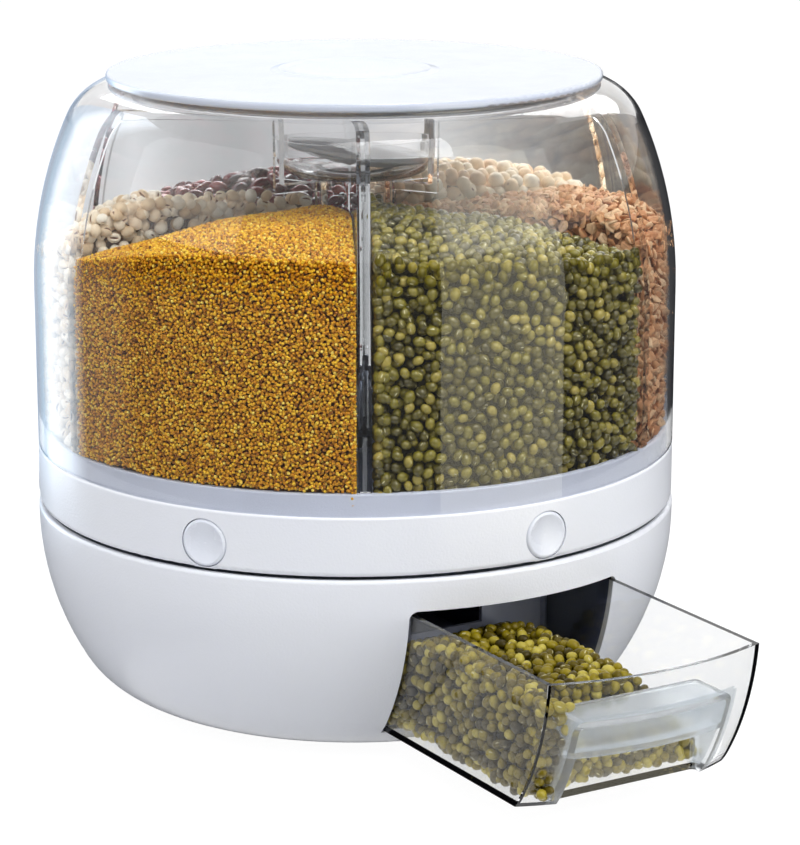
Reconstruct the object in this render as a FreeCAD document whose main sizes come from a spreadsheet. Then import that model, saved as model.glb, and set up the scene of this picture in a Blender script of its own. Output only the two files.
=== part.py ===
import FreeCAD, Part
import math
import os
import re
import Sketcher

# Rotating grain dispenser: a round base with a pull-out drawer, a turning
# ring with six compartments under a clear dome, a push button and a sprung
# gate for each compartment, and a lid that lifts off.
# Frame: origin at the middle of the underside, Z up, the drawer opens to -Y.
# At rest the drawer is pulled out and the turntable is turned a few degrees.

Vector = FreeCAD.Vector
Z_AXIS = Vector(0, 0, 1)
X_TO_DRAWER_SIDE = FreeCAD.Rotation(Vector(1, 0, 0), Vector(0, -1, 0))

os.makedirs("parts", exist_ok=True)
doc = FreeCAD.newDocument("GrainDispenser")

# Driving dimensions, in millimetres and degrees

SIZES = [
    ("running_gap", 0.3, "free gap between pieces that move past each other"),
    ("pivot_gap", 0.08, "radial play of the pivot bolt in its bush"),
    ("foot_height", 1.2, "rubber foot below the bowl"),
    ("foot_radius", 8, ""),
    ("foot_inset", 17, "circle of feet inside the flat underside"),
    ("foot_count", 4, ""),
    ("middle_foot_radius", 14, "pad under the middle of the floor"),
    ("base_radius", 155.5, "outer radius of the base at its rim"),
    ("base_undercut", 53.5, "rim to the flat underside"),
    ("base_corner", 40, "rounding between underside and side"),
    ("base_wall", 3, ""),
    ("rim_band", 4, "upright band under the rim"),
    ("base_rim", 94, "height of the rim"),
    ("rim_round", 1.6, ""),
    ("deck_sink", 8, "rim to the shelf that carries the deck"),
    ("ledge_depth", 3, ""),
    ("ledge_width", 6, ""),
    ("screw_inset", 2, "deck screws inside the ledge"),
    ("screw_count", 4, ""),
    ("screw_radius", 1.5, ""),
    ("screw_hole_radius", 1.6, ""),
    ("screw_length", 11, "under the head"),
    ("screw_head_radius", 3.2, ""),
    ("screw_head_height", 2, ""),
    ("boss_radius", 4.4, "screw boss under the ledge"),
    ("boss_depth", 12, ""),
    ("deck_thickness", 3, ""),
    ("deck_play", 0.2, "between deck and bowl"),
    ("pivot_boss_radius", 12, "boss under the deck"),
    ("pivot_boss_length", 31, ""),
    ("bush_radius", 7, ""),
    ("bush_flange_radius", 10, ""),
    ("bush_flange", 1, ""),
    ("bolt_radius", 5, "pivot bolt shank"),
    ("bolt_head_radius", 9, ""),
    ("bolt_head_height", 4, ""),
    ("bolt_socket", 3, "half width of the socket in the bolt head"),
    ("washer_radius", 10, ""),
    ("washer_thickness", 1.5, ""),
    ("nut_radius", 9, "across corners, halved"),
    ("nut_height", 7, ""),
    ("race_half_width", 8, ""),
    ("race_thickness", 2.6, ""),
    ("race_space", 1.3, "between the two races"),
    ("race_inset", 24, "chute to the circle of balls"),
    ("ball_radius", 2, ""),
    ("ball_count", 24, ""),
    ("ball_play", 0.05, "between ball and groove"),
    ("cage_width", 7, ""),
    ("cage_thickness", 0.7, ""),
    ("cage_hole_play", 0.2, ""),
    ("chute_lead", 12, "chute nearer the pivot than the outlets"),
    ("chute_length", 33, ""),
    ("chute_half_width", 30, ""),
    ("chute_wall", 2, ""),
    ("chute_flange", 3, ""),
    ("chute_flange_thickness", 1.5, ""),
    ("chute_drop", 6, "below the deck"),
    ("drawer_half_width", 55, ""),
    ("drawer_bottom", 15, ""),
    ("drawer_headroom", 9, "drawer to deck"),
    ("drawer_wall", 2.5, ""),
    ("drawer_back", 26, "behind the pivot when the drawer is shut"),
    ("drawer_open", 110, "how far out the drawer stands at rest"),
    ("drawer_overtravel", 6, "further out, up to the stop"),
    ("drawer_side_play", 1, ""),
    ("window_play", 1, "under the drawer"),
    ("window_headroom", 2, "over the drawer"),
    ("window_corner", 4, ""),
    ("notch_play", 7, "notch in the drawer's back, beside the pivot boss"),
    ("notch_drop", 2.2, "notch below the bolt's head"),
    ("grip_half_width", 38, "finger recess in the drawer's front"),
    ("grip_lip", 40, "lower edge of the front above the recess"),
    ("grip_ceiling", 55, ""),
    ("grip_depth", 33.5, "rim to the back of the recess"),
    ("grip_wall", 3, ""),
    ("grip_round", 5.5, "outer edges of the recess"),
    ("edge_bevel", 0.6, "bevel of the dome's foot and of the seal"),
    ("bolt_bevel", 1, ""),
    ("bolt_end", 2, "bolt beyond its nut"),
    ("bolt_socket_depth", 2.4, ""),
    ("tray_round", 1, "outer edge of the tray's rim"),
    ("passing", 1, "how far a cut goes past the face it opens"),
    ("far_passing", 5, "the same for the large cuts through a curved wall"),
    ("lip_bead", 3, "height of the bead behind the lip"),
    ("lip_depth", 5, ""),
    ("hook_half_width", 8, "stop hook under the drawer's back"),
    ("hook_depth", 5, ""),
    ("stop_thickness", 3, "stop rib on the bowl's floor"),
    ("stop_clearance", 0.5, "drawer over the stop rib"),
    ("bay_wall", 2.5, ""),
    ("bay_margin", 14, "bay behind the shut drawer"),
    ("runner_lap", 11, "runner under the drawer's side"),
    ("skin_gap", 0.2, "loose pieces to the bowl's inner face"),
    ("seam_gap", 1.5, "between base and turning ring"),
    ("ring_step", 0.5, "ring inside the rim"),
    ("ring_height", 27.7, ""),
    ("ring_wall", 3, ""),
    ("ring_web", 2.5, ""),
    ("ring_shelf", 9, "width of the ring's top shelf"),
    ("ring_low_round", 2.5, ""),
    ("ring_top_round", 1.2, ""),
    ("hub_boss_radius", 11, ""),
    ("hub_boss_height", 12, ""),
    ("compartments", 6, "compartments, buttons and gates"),
    ("rest_turn", 3.8, "turn of the turntable at rest"),
    ("dome_turn", -2.3, "dividers against the middle between two buttons"),
    ("outlet_inset", 59, "ring to the near side of the grain outlets"),
    ("outlet_length", 11, ""),
    ("outlet_half_width", 20, ""),
    ("spout_wall", 2, ""),
    ("gate_thickness", 2.4, ""),
    ("gate_bridge", 1, "closed strip between outlet and window"),
    ("gate_lap", 2, "gate beyond the outlet"),
    ("gate_sink", 0.2, "gate's top below the top of the stem"),
    ("gate_tab_thickness", 3, ""),
    ("gate_tab_half_width", 8, ""),
    ("gate_tab_drop", 8.5, ""),
    ("rail_thickness", 2.5, ""),
    ("guide_half_width", 12, "rib that guides the button stem"),
    ("guide_thickness", 2.5, ""),
    ("guide_rise", 6.5, "rib above the stem's axis"),
    ("button_margin", 1, "button to the ring's lower edge"),
    ("button_border", 2.85, "ring above and below a button, averaged"),
    ("button_gap", 0.35, ""),
    ("button_cap", 6, "thickness of the button's cap"),
    ("button_proud", 0.2, "button beyond the ring"),
    ("button_round", 1.5, ""),
    ("button_dish", 1.6, ""),
    ("button_stroke", 12, ""),
    ("stem_radius", 4, ""),
    ("stem_gap", 0.3, ""),
    ("sleeve_wall", 1.8, ""),
    ("sleeve_length", 16, ""),
    ("coil_radius", 6.4, "button spring, to the middle of its wire"),
    ("coil_wire", 0.9, "wire diameter"),
    ("coil_turns", 6, ""),
    ("tray_floor", 3, ""),
    ("tray_rim", 10.4, "rim of the tray above the ring"),
    ("tray_rim_wall", 2.5, ""),
    ("tray_play", 0.3, "between tray and dome"),
    ("funnel_spread", 8, "outlet funnel in the tray"),
    ("dome_wall", 2.5, ""),
    ("dome_side", 76.8, "upright part of the dome"),
    ("dome_rise", 97.6, "curved part of the dome"),
    ("dome_corner", 28, ""),
    ("dome_inset", 43, "ring to the dome's flat crown"),
    ("mouth_lip", 3.4, "flat crown round the dome's opening"),
    ("lid_overhang", 6.5, "lid beyond the flat crown"),
    ("divider_thickness", 6, ""),
    ("divider_skin", 2, ""),
    ("divider_border", 4, ""),
    ("divider_gap", 0.5, "divider to dome"),
    ("divider_headroom", 1, "divider to the lid's skirt"),
    ("column_radius", 18, ""),
    ("column_wall", 2, ""),
    ("neck_length", 8, "column to cup"),
    ("cup_radius", 39, ""),
    ("cup_wall", 2, ""),
    ("cup_height", 20, ""),
    ("cup_sink", 18.5, "cup below the dividers' top"),
    ("cup_corner", 10, ""),
    ("neck_round", 2, "between cup and neck"),
    ("cup_clear", 2, "divider to cup"),
    ("capsule_play", 2.5, "capsule to cup"),
    ("capsule_rim", 3, ""),
    ("capsule_depth", 8, "round underside below the seam"),
    ("capsule_crown", 3, "round top above the rim"),
    ("capsule_wall", 1.4, ""),
    ("capsule_tilt", 9, ""),
    ("capsule_side", -30, "direction in which the capsule leans down"),
    ("capsule_shift", 1.5, ""),
    ("capsule_rest_gap", 0.1, "capsule to cup floor"),
    ("lid_thickness", 3.8, ""),
    ("lid_round", 1.5, ""),
    ("lid_ring_radius", 40.5, ""),
    ("lid_ring_width", 8, ""),
    ("lid_ring_height", 0.8, ""),
    ("lid_dish", 2.4, ""),
    ("seal_width", 3.1, "skirt to the dome's mouth"),
    ("skirt_wall", 2, ""),
    ("skirt_height", 6.4, ""),
    ("seal_height", 2.6, ""),
]

# Sizes that follow from the driving ones, as formulas of the sheet

FOLLOWING = [
    ("base_bottom_radius", "base_radius - base_undercut", "flat underside"),
    ("foot_circle", "base_bottom_radius - foot_inset", "radius of the circle of feet"),
    ("base_shoulder", "base_rim - rim_band", "height where the side becomes upright"),
    ("ledge_height", "base_rim - deck_sink", "shelf that carries the deck"),
    ("screw_circle", "base_radius - base_wall - ledge_width - screw_inset", ""),
    ("pivot_boss_bottom", "ledge_height - pivot_boss_length", ""),
    ("ball_circle", "chute_near - race_inset", "radius of the circle of balls"),
    ("race_inner", "ball_circle - race_half_width", ""),
    ("race_outer", "ball_circle + race_half_width", ""),
    ("ring_radius", "base_radius - ring_step", ""),
    ("outlet_near", "ring_radius - outlet_inset", "side of the outlets nearer the pivot"),
    ("chute_near", "outlet_near - chute_lead", "side of the chute nearer the pivot"),
    ("chute_far", "chute_near + chute_length", ""),
    ("chute_bottom", "ledge_height - chute_drop", ""),
    ("drawer_top", "ledge_height - drawer_headroom", ""),
    ("window_bottom", "drawer_bottom - window_play", "opening in the bowl"),
    ("window_top", "drawer_top + window_headroom", ""),
    ("notch_half_width", "pivot_boss_radius + notch_play", ""),
    ("bolt_head_top", "pivot_boss_bottom - bush_flange - running_gap - washer_thickness", ""),
    ("notch_bottom", "bolt_head_top - bolt_head_height - notch_drop", ""),
    ("grip_back", "base_radius - grip_depth", "back of the recess, drawer shut"),
    ("runner_inner", "drawer_half_width - runner_lap", ""),
    ("button_radius", "ring_height / 2 - button_border", ""),
    ("button_height", "base_rim + seam_gap + button_radius + button_margin", "button's axis"),
    ("dome_shoulder", "base_rim + seam_gap + ring_height + dome_side", "where the dome starts to curve"),
    ("dome_top", "dome_shoulder + dome_rise", ""),
    ("crown_radius", "ring_radius - dome_inset", "where the dome becomes flat"),
    ("lid_radius", "crown_radius + lid_overhang", ""),
    ("mouth_radius", "crown_radius - mouth_lip", "opening in the dome"),
    ("skirt_radius", "mouth_radius - seal_width", ""),
    ("divider_top", "dome_top + running_gap - skirt_height - divider_headroom", ""),
    ("cup_top", "divider_top - cup_sink", ""),
    ("cup_bottom", "cup_top - cup_height", ""),
    ("column_top", "cup_bottom - neck_length", ""),
    ("capsule_radius", "cup_radius - cup_wall - capsule_play", ""),
]

sheet = doc.addObject("Spreadsheet::Sheet", "Sizes")
cells = [(alias, str(number), note) for alias, number, note in SIZES]
cells += [(alias, "=" + formula, note) for alias, formula, note in FOLLOWING]
for row, (alias, content, note) in enumerate(cells, start=1):
    sheet.set("A%d" % row, alias.replace("_", " "))
    sheet.set("C%d" % row, note)
    sheet.setAlias("B%d" % row, alias)
for row, (alias, content, note) in enumerate(cells, start=1):
    sheet.set("B%d" % row, content)
doc.recompute()
ALIASES = {alias for alias, content, note in cells}


def bound(text):
    """The sheet expression for a text written with the bare size names."""
    return re.sub(r"[a-z]\w*", lambda word: "Sizes." + word.group(0) if word.group(0) in ALIASES
                  else word.group(0), str(text))


def value(text):
    """The number that an expression has with the present sizes."""
    return float(sheet.evalExpression(bound(text)))


# Levels and places worked out from the sizes, as expressions

BOWL_UNDER = "foot_height"
BOWL_FLOOR = "(foot_height + base_wall)"
DECK_TOP = "(ledge_height + deck_thickness)"
RING_BOTTOM = "(base_rim + seam_gap)"
RING_TOP = "(base_rim + seam_gap + ring_height)"
WEB_TOP = "(base_rim + seam_gap + ring_web)"
BORE = "(bolt_radius + pivot_gap)"
WASHER_TOP = "(pivot_boss_bottom - bush_flange - running_gap)"
HEAD_TOP = "bolt_head_top"
HUB_TOP = "(base_rim + seam_gap + ring_web + hub_boss_height)"
OUTLET_FAR = "(outlet_near + outlet_length)"
GATE_BOTTOM = "(button_height + stem_radius - gate_thickness - gate_sink)"
GATE_TOP = "(button_height + stem_radius - gate_sink)"
SPOUT_NEAR = "(outlet_near - spout_wall)"
SPOUT_FAR = "(outlet_near + outlet_length + spout_wall)"
SPOUT_HALF = "(outlet_half_width + spout_wall)"
GATE_NEAR = "(outlet_near - spout_wall - gate_lap)"
WINDOW_NEAR = "(outlet_near + button_stroke)"
WINDOW_FAR = "(outlet_near + button_stroke + outlet_length)"
GATE_FAR = f"({SPOUT_FAR} + button_stroke + running_gap)"
TAB_FAR = f"({GATE_FAR} + gate_tab_thickness)"
GUIDE_NEAR = f"({TAB_FAR} + running_gap)"
GUIDE_FAR = f"({TAB_FAR} + running_gap + guide_thickness)"
CAP_BACK = "(ring_radius + button_proud - button_cap)"
CAP_FRONT = "(ring_radius + button_proud)"
TRAY_FLOOR = "(base_rim + seam_gap + ring_height + tray_floor)"
RIM_TOP = "(base_rim + seam_gap + ring_height + tray_rim)"
TRAY_RADIUS = "(ring_radius - dome_wall - tray_play)"
RIM_INNER = "(ring_radius - dome_wall - tray_play - tray_rim_wall)"
LID_BOTTOM = "(dome_top + running_gap)"
LID_TOP = "(dome_top + running_gap + lid_thickness)"
BAY_INNER = "(drawer_half_width + drawer_side_play + running_gap)"
BAY_BACK = "(drawer_back + bay_margin)"
STOP_BACK = "(drawer_open + drawer_overtravel + running_gap + drawer_wall - drawer_back)"


# Helpers

def new_body(label):
    body = doc.addObject("PartDesign::Body", label)
    body.Label = label
    return body


def origin_feature(body, role):
    return [feature for feature in body.Origin.OriginFeatures if feature.Role == role][0]


def new_sketch(body, role, offset="0"):
    """An empty sketch on one of the body's origin planes, moved along the plane's normal."""
    sketch = body.newObject("Sketcher::SketchObject", body.Label + "_sketch")
    sketch.AttachmentSupport = [(origin_feature(body, role), "")]
    sketch.MapMode = "FlatFace"
    sketch.setExpression("AttachmentOffset.Base.z", bound(offset))
    return sketch


def hold(sketch, kind, geometry, point, text):
    """Binds one coordinate of a point of the sketch to an expression."""
    index = sketch.addConstraint(Sketcher.Constraint(kind, -1, 1, geometry, point, value(text)))
    sketch.setExpression("Constraints[%d]" % index, bound(text))


def draw_outline(sketch, corners):
    """A closed outline. A corner is (x, y), reached by a straight line, or
    (x, y, centre x, centre y), reached by an arc of under half a circle."""
    points = [Vector(value(corner[0]), value(corner[1]), 0) for corner in corners]
    first = sketch.GeometryCount
    ends = []
    for index, corner in enumerate(corners):
        start = points[index - 1]
        end = points[index]
        if len(corner) == 2:
            sketch.addGeometry(Part.LineSegment(start, end))
            ends.append((1, 2))
            continue
        centre = Vector(value(corner[2]), value(corner[3]), 0)
        from_centre = start - centre
        to_centre = end - centre
        counterclockwise = from_centre.cross(to_centre).z > 0
        low, high = (from_centre, to_centre) if counterclockwise else (to_centre, from_centre)
        circle = Part.Circle(centre, Z_AXIS, from_centre.Length)
        low_angle = math.atan2(low.y, low.x)
        high_angle = math.atan2(high.y, high.x)
        sketch.addGeometry(Part.ArcOfCircle(circle, low_angle, high_angle))
        ends.append((1, 2) if counterclockwise else (2, 1))
    count = len(corners)
    for index in range(count):
        following = (index + 1) % count
        sketch.addConstraint(Sketcher.Constraint(
            "Coincident", first + index, ends[index][1], first + following, ends[following][0]))
    for index, corner in enumerate(corners):
        hold(sketch, "DistanceX", first + index, ends[index][1], corner[0])
        hold(sketch, "DistanceY", first + index, ends[index][1], corner[1])
        if len(corner) == 4:
            chord = points[index] - points[index - 1]
            if abs(chord.x) > abs(chord.y):
                hold(sketch, "DistanceY", first + index, 3, corner[3])
            else:
                hold(sketch, "DistanceX", first + index, 3, corner[2])


def draw_rectangle(sketch, left, right, low, high):
    draw_outline(sketch, [(left, low), (right, low), (right, high), (left, high)])


def draw_circle(sketch, x, y, radius):
    index = sketch.addGeometry(Part.Circle(Vector(value(x), value(y), 0), Z_AXIS, value(radius)))
    hold(sketch, "DistanceX", index, 3, x)
    hold(sketch, "DistanceY", index, 3, y)
    constraint = sketch.addConstraint(Sketcher.Constraint("Radius", index, value(radius)))
    sketch.setExpression("Constraints[%d]" % constraint, bound(radius))


def revolve(body, corners):
    """Turns an outline of (radius, height) corners about the body's Z axis."""
    sketch = new_sketch(body, "XZ_Plane")
    draw_outline(sketch, corners)
    feature = body.newObject("PartDesign::Revolution", body.Label + "_turned")
    feature.Profile = sketch
    feature.ReferenceAxis = (sketch, ["V_Axis"])
    feature.Angle = 360
    doc.recompute()
    return feature


def pad(body, sketch, length, reversed_way=False, midplane=False):
    feature = body.newObject("PartDesign::Pad", body.Label + "_pad")
    feature.Profile = sketch
    feature.Reversed = reversed_way
    feature.Midplane = midplane
    feature.setExpression("Length", bound(length))
    doc.recompute()
    return feature


def pocket(body, sketch, length, reversed_way=False, midplane=False):
    """Cuts along the sketch's negative normal, and stops if nothing was cut."""
    before = body.Shape.Volume
    feature = body.newObject("PartDesign::Pocket", body.Label + "_cut")
    feature.Profile = sketch
    feature.Reversed = reversed_way
    feature.Midplane = midplane
    feature.setExpression("Length", bound(length))
    doc.recompute()
    if not body.Shape.Volume < before:
        raise RuntimeError(body.Label + ": a pocket cuts nothing")
    return feature


def repeat_round(body, features, count):
    """Repeats features about the body's Z axis."""
    pattern = body.newObject("PartDesign::PolarPattern", body.Label + "_pattern")
    pattern.Originals = features
    pattern.Axis = (origin_feature(body, "Z_Axis"), [""])
    pattern.Angle = 360
    pattern.setExpression("Occurrences", bound(count))
    body.Tip = pattern
    doc.recompute()
    return pattern


def blend(flat_radius, flat_height, wall_radius, wall_height, corner, inset="0"):
    """Two tangent arcs from a flat face to an upright wall, both offset inwards by the inset.
    Gives the texts of three points and two centres. The wall lies above or below the face."""
    way = "1" if value(wall_height) > value(flat_height) else "-1"
    across = f"({wall_radius} - {flat_radius})"
    along = f"({way} * ({wall_height} - {flat_height}))"
    side = (f"(({across}^2 + {along}^2 - 2 * {along} * {corner})"
            f" / (2 * ({across} - {corner})))")
    corner_centre = (flat_radius, f"({flat_height} + {way} * {corner})")
    side_centre = (f"({wall_radius} - {side})", wall_height)
    share = f"(({corner} - {inset}) / ({side} - {corner}))"
    meeting = tuple(f"({near} + {share} * ({near} - {far}))"
                    for near, far in zip(corner_centre, side_centre))
    return {
        "flat": (flat_radius, f"({flat_height} + {way} * {inset})"),
        "meeting": meeting,
        "wall": (f"({wall_radius} - {inset})", wall_height),
        "corner_centre": corner_centre,
        "side_centre": side_centre,
        "corner_radius": f"({corner} - {inset})",
        "side_radius": f"({side} - {inset})",
    }


def bowl_curve(inset="0"):
    return blend("base_bottom_radius", BOWL_UNDER, "base_radius", "base_shoulder", "base_corner", inset)


def dome_curve(inset="0"):
    return blend("crown_radius", "dome_top", "ring_radius", "dome_shoulder", "dome_corner", inset)


def side_radius_at(curve, height):
    """Radius of the longer arc of a blend at a height."""
    centre_x, centre_y = curve["side_centre"]
    return f"({centre_x} + sqrt({curve['side_radius']}^2 - ({height} - {centre_y})^2))"


def corner_radius_at(curve, height):
    """Radius of the shorter arc of a blend at a height."""
    centre_x, centre_y = curve["corner_centre"]
    return f"({centre_x} + sqrt({curve['corner_radius']}^2 - ({height} - {centre_y})^2))"


def turn(angle):
    return FreeCAD.Rotation(Z_AXIS, angle)


def station_angle(station):
    """Angle of a compartment's middle from the drawer's direction, at rest."""
    return value("rest_turn") + 360.0 * station / value("compartments")


def divider_angle(station):
    return station_angle(station) + 180.0 / value("compartments") + value("dome_turn")


def box(label, left, right, front, back, low, high):
    """A Part box between two corners, bound to the sheet."""
    block = doc.addObject("Part::Box", label)
    block.setExpression("Length", bound(f"{right} - ({left})"))
    block.setExpression("Width", bound(f"{back} - ({front})"))
    block.setExpression("Height", bound(f"{high} - ({low})"))
    block.setExpression("Placement.Base.x", bound(left))
    block.setExpression("Placement.Base.y", bound(front))
    block.setExpression("Placement.Base.z", bound(low))
    return block


def boolean(kind, label, first, second):
    """A Part cut, fuse or common of two objects."""
    result = doc.addObject("Part::" + kind, label)
    result.Base = first
    result.Tool = second
    result.Label = label
    doc.recompute()
    return result


def rounded_hollow(label, margin):
    """A block from the front to the back of the finger recess, rounded at its upper and rear edges."""
    half = f"(grip_half_width + {margin})"
    rear = f"-(grip_back - {margin})"
    top = f"(grip_ceiling + {margin})"
    rounding = value(f"grip_round - grip_wall + {margin}")
    block = box(label + "_block", f"-{half}", half, "-(base_radius + far_passing)", rear, "0", top)
    doc.recompute()
    chosen = []
    for index, edge in enumerate(block.Shape.Edges, start=1):
        centre = edge.CenterOfMass
        at_rear = abs(centre.y - value(rear)) < 0.01
        at_top = abs(centre.z - value(top)) < 0.01
        at_side = abs(abs(centre.x) - value(half)) < 0.01
        if [at_rear, at_top, at_side].count(True) == 2:
            chosen.append((index, rounding, rounding))
    rounded = doc.addObject("Part::Fillet", label)
    rounded.Base = block
    rounded.Edges = chosen
    doc.recompute()
    return rounded


# Base

def make_base_bowl():
    """The bowl: floor, rounded side, deck ledge, screw bosses, drawer window and stop rib."""
    body = new_body("base_bowl")
    outer = bowl_curve()
    inner = bowl_curve("base_wall")
    inner_radius = "(base_radius - base_wall)"
    ledge_under = "(ledge_height - ledge_depth)"
    revolve(body, [
        ("0", BOWL_UNDER),
        outer["flat"],
        outer["meeting"] + outer["corner_centre"],
        outer["wall"] + outer["side_centre"],
        ("base_radius", "(base_rim - rim_round)"),
        ("(base_radius - rim_round)", "base_rim", "(base_radius - rim_round)", "(base_rim - rim_round)"),
        (inner_radius, "base_rim"),
        (inner_radius, "ledge_height"),
        ("(base_radius - base_wall - ledge_width)", "ledge_height"),
        ("(base_radius - base_wall - ledge_width)", ledge_under),
        (side_radius_at(inner, ledge_under), ledge_under),
        inner["meeting"] + inner["side_centre"],
        inner["flat"] + inner["corner_centre"],
        ("0", BOWL_FLOOR),
    ])
    boss = new_sketch(body, "XY_Plane", "ledge_height - boss_depth")
    draw_circle(boss, "screw_circle * cos(45)", "screw_circle * sin(45)", "boss_radius")
    boss_pad = pad(body, boss, "boss_depth")
    hole = new_sketch(body, "XY_Plane", "ledge_height + passing")
    draw_circle(hole, "screw_circle * cos(45)", "screw_circle * sin(45)", "screw_hole_radius")
    hole_cut = pocket(body, hole, "boss_depth")
    repeat_round(body, [boss_pad, hole_cut], "screw_count")
    window = new_sketch(body, "XZ_Plane", "base_bottom_radius / 2")
    half = "(drawer_half_width + drawer_side_play)"
    corner_x = f"({half} - window_corner)"
    corner_z = "(window_top - window_corner)"
    draw_outline(window, [
        (f"-{half}", "window_bottom"),
        (half, "window_bottom"),
        (half, corner_z),
        (corner_x, "window_top", corner_x, corner_z),
        (f"-{corner_x}", "window_top"),
        (f"-{half}", corner_z, f"-{corner_x}", corner_z),
    ])
    pocket(body, window, "base_radius", reversed_way=True)
    rib = new_sketch(body, "XY_Plane", BOWL_FLOOR + " - base_wall / 2")
    draw_rectangle(rib, "-1.5 * hook_half_width", "1.5 * hook_half_width",
                   f"-({STOP_BACK} + stop_thickness)", f"-{STOP_BACK}")
    pad(body, rib, f"drawer_bottom - stop_clearance - {BOWL_FLOOR} + base_wall / 2")
    return body


def make_rubber_feet():
    """Round pads under the bowl, as one group."""
    pads = [Part.makeCylinder(value("middle_foot_radius"), value("foot_height"))]
    for index in range(int(value("foot_count"))):
        angle = math.radians(45 + 360 * index / value("foot_count"))
        radius = value("foot_circle")
        centre = Vector(radius * math.cos(angle), radius * math.sin(angle), 0)
        pads.append(Part.makeCylinder(value("foot_radius"), value("foot_height"), centre))
    feet = doc.addObject("Part::Feature", "rubber_feet")
    feet.Shape = Part.makeCompound(pads)
    return feet


def make_base_deck():
    """The deck over the drawer, with the pivot boss and the hole for the chute."""
    body = new_body("base_deck")
    revolve(body, [
        ("bush_radius", "pivot_boss_bottom"),
        ("pivot_boss_radius", "pivot_boss_bottom"),
        ("pivot_boss_radius", "ledge_height"),
        ("(base_radius - base_wall - deck_play)", "ledge_height"),
        ("(base_radius - base_wall - deck_play)", DECK_TOP),
        ("bush_radius", DECK_TOP),
    ])
    hole = new_sketch(body, "XY_Plane", DECK_TOP)
    draw_rectangle(hole, "-chute_half_width", "chute_half_width", "-chute_far", "-chute_near")
    pocket(body, hole, "deck_thickness")
    screw = new_sketch(body, "XY_Plane", DECK_TOP)
    draw_circle(screw, "screw_circle * cos(45)", "screw_circle * sin(45)", "screw_hole_radius")
    cut = pocket(body, screw, "deck_thickness")
    repeat_round(body, [cut], "screw_count")
    return body


def make_deck_screws():
    """Pan head screws that hold the deck, as one group."""
    screws = []
    top = value(DECK_TOP)
    for index in range(int(value("screw_count"))):
        angle = math.radians(45 + 360 * index / value("screw_count"))
        radius = value("screw_circle")
        x = radius * math.cos(angle)
        y = radius * math.sin(angle)
        shank = Part.makeCylinder(value("screw_radius"), value("screw_length"),
                                  Vector(x, y, top - value("screw_length")))
        head = Part.makeCylinder(value("screw_head_radius"), value("screw_head_height"), Vector(x, y, top))
        head = head.makeFillet(value("screw_head_height / 3"), [head.Edges[0]])
        slot = value("screw_head_radius / 4")
        cross = Part.makeBox(4 * slot, slot, top, Vector(x - 2 * slot, y - slot / 2,
                                                         top + value("screw_head_height / 2")))
        other = Part.makeBox(slot, 4 * slot, top, Vector(x - slot / 2, y - 2 * slot,
                                                         top + value("screw_head_height / 2")))
        screws.append(shank.fuse(head).removeSplitter().cut(cross.fuse(other)))
    group = doc.addObject("Part::Feature", "deck_screws")
    group.Shape = Part.makeCompound(screws)
    return group


def make_chute():
    """The rectangular collar that leads the grain through the deck into the drawer."""
    body = new_body("discharge_chute")
    outer_left = "-(chute_half_width - running_gap)"
    outer_right = "(chute_half_width - running_gap)"
    outer_front = "-(chute_far - running_gap)"
    outer_back = "-(chute_near + running_gap)"
    walls = new_sketch(body, "XY_Plane", "chute_bottom")
    draw_rectangle(walls, outer_left, outer_right, outer_front, outer_back)
    pad(body, walls, f"{RING_BOTTOM} - running_gap - chute_bottom")
    flange = new_sketch(body, "XY_Plane", DECK_TOP)
    draw_rectangle(flange, "-(chute_half_width + chute_flange)", "(chute_half_width + chute_flange)",
                   "-(chute_far + chute_flange)", "-(chute_near - chute_flange)")
    pad(body, flange, "chute_flange_thickness")
    passage = new_sketch(body, "XY_Plane", RING_BOTTOM)
    draw_rectangle(passage, f"{outer_left} + chute_wall", f"{outer_right} - chute_wall",
                   f"{outer_front} + chute_wall", f"{outer_back} - chute_wall")
    pocket(body, passage, f"{RING_BOTTOM} - chute_bottom + passing")
    return body


def make_former(label, inset):
    """A solid of revolution that fills the bowl's curved side, inset by a distance."""
    body = new_body(label)
    curve = bowl_curve(inset)
    revolve(body, [
        ("0", curve["flat"][1]),
        curve["flat"],
        curve["meeting"] + curve["corner_centre"],
        curve["wall"] + curve["side_centre"],
        (curve["wall"][0], "base_rim"),
        ("0", "base_rim"),
    ])
    return body


def make_cavity_former():
    """The room inside the bowl under the deck, a little smaller all round, narrower at the ledge."""
    body = new_body("cavity_former")
    curve = bowl_curve("(base_wall + skin_gap)")
    ledge_under = "(ledge_height - ledge_depth - skin_gap)"
    ledge_edge = "(base_radius - base_wall - ledge_width - skin_gap)"
    revolve(body, [
        ("0", curve["flat"][1]),
        curve["flat"],
        curve["meeting"] + curve["corner_centre"],
        (side_radius_at(curve, ledge_under), ledge_under) + curve["side_centre"],
        (ledge_edge, ledge_under),
        (ledge_edge, "ledge_height"),
        ("0", "ledge_height"),
    ])
    return body


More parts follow.
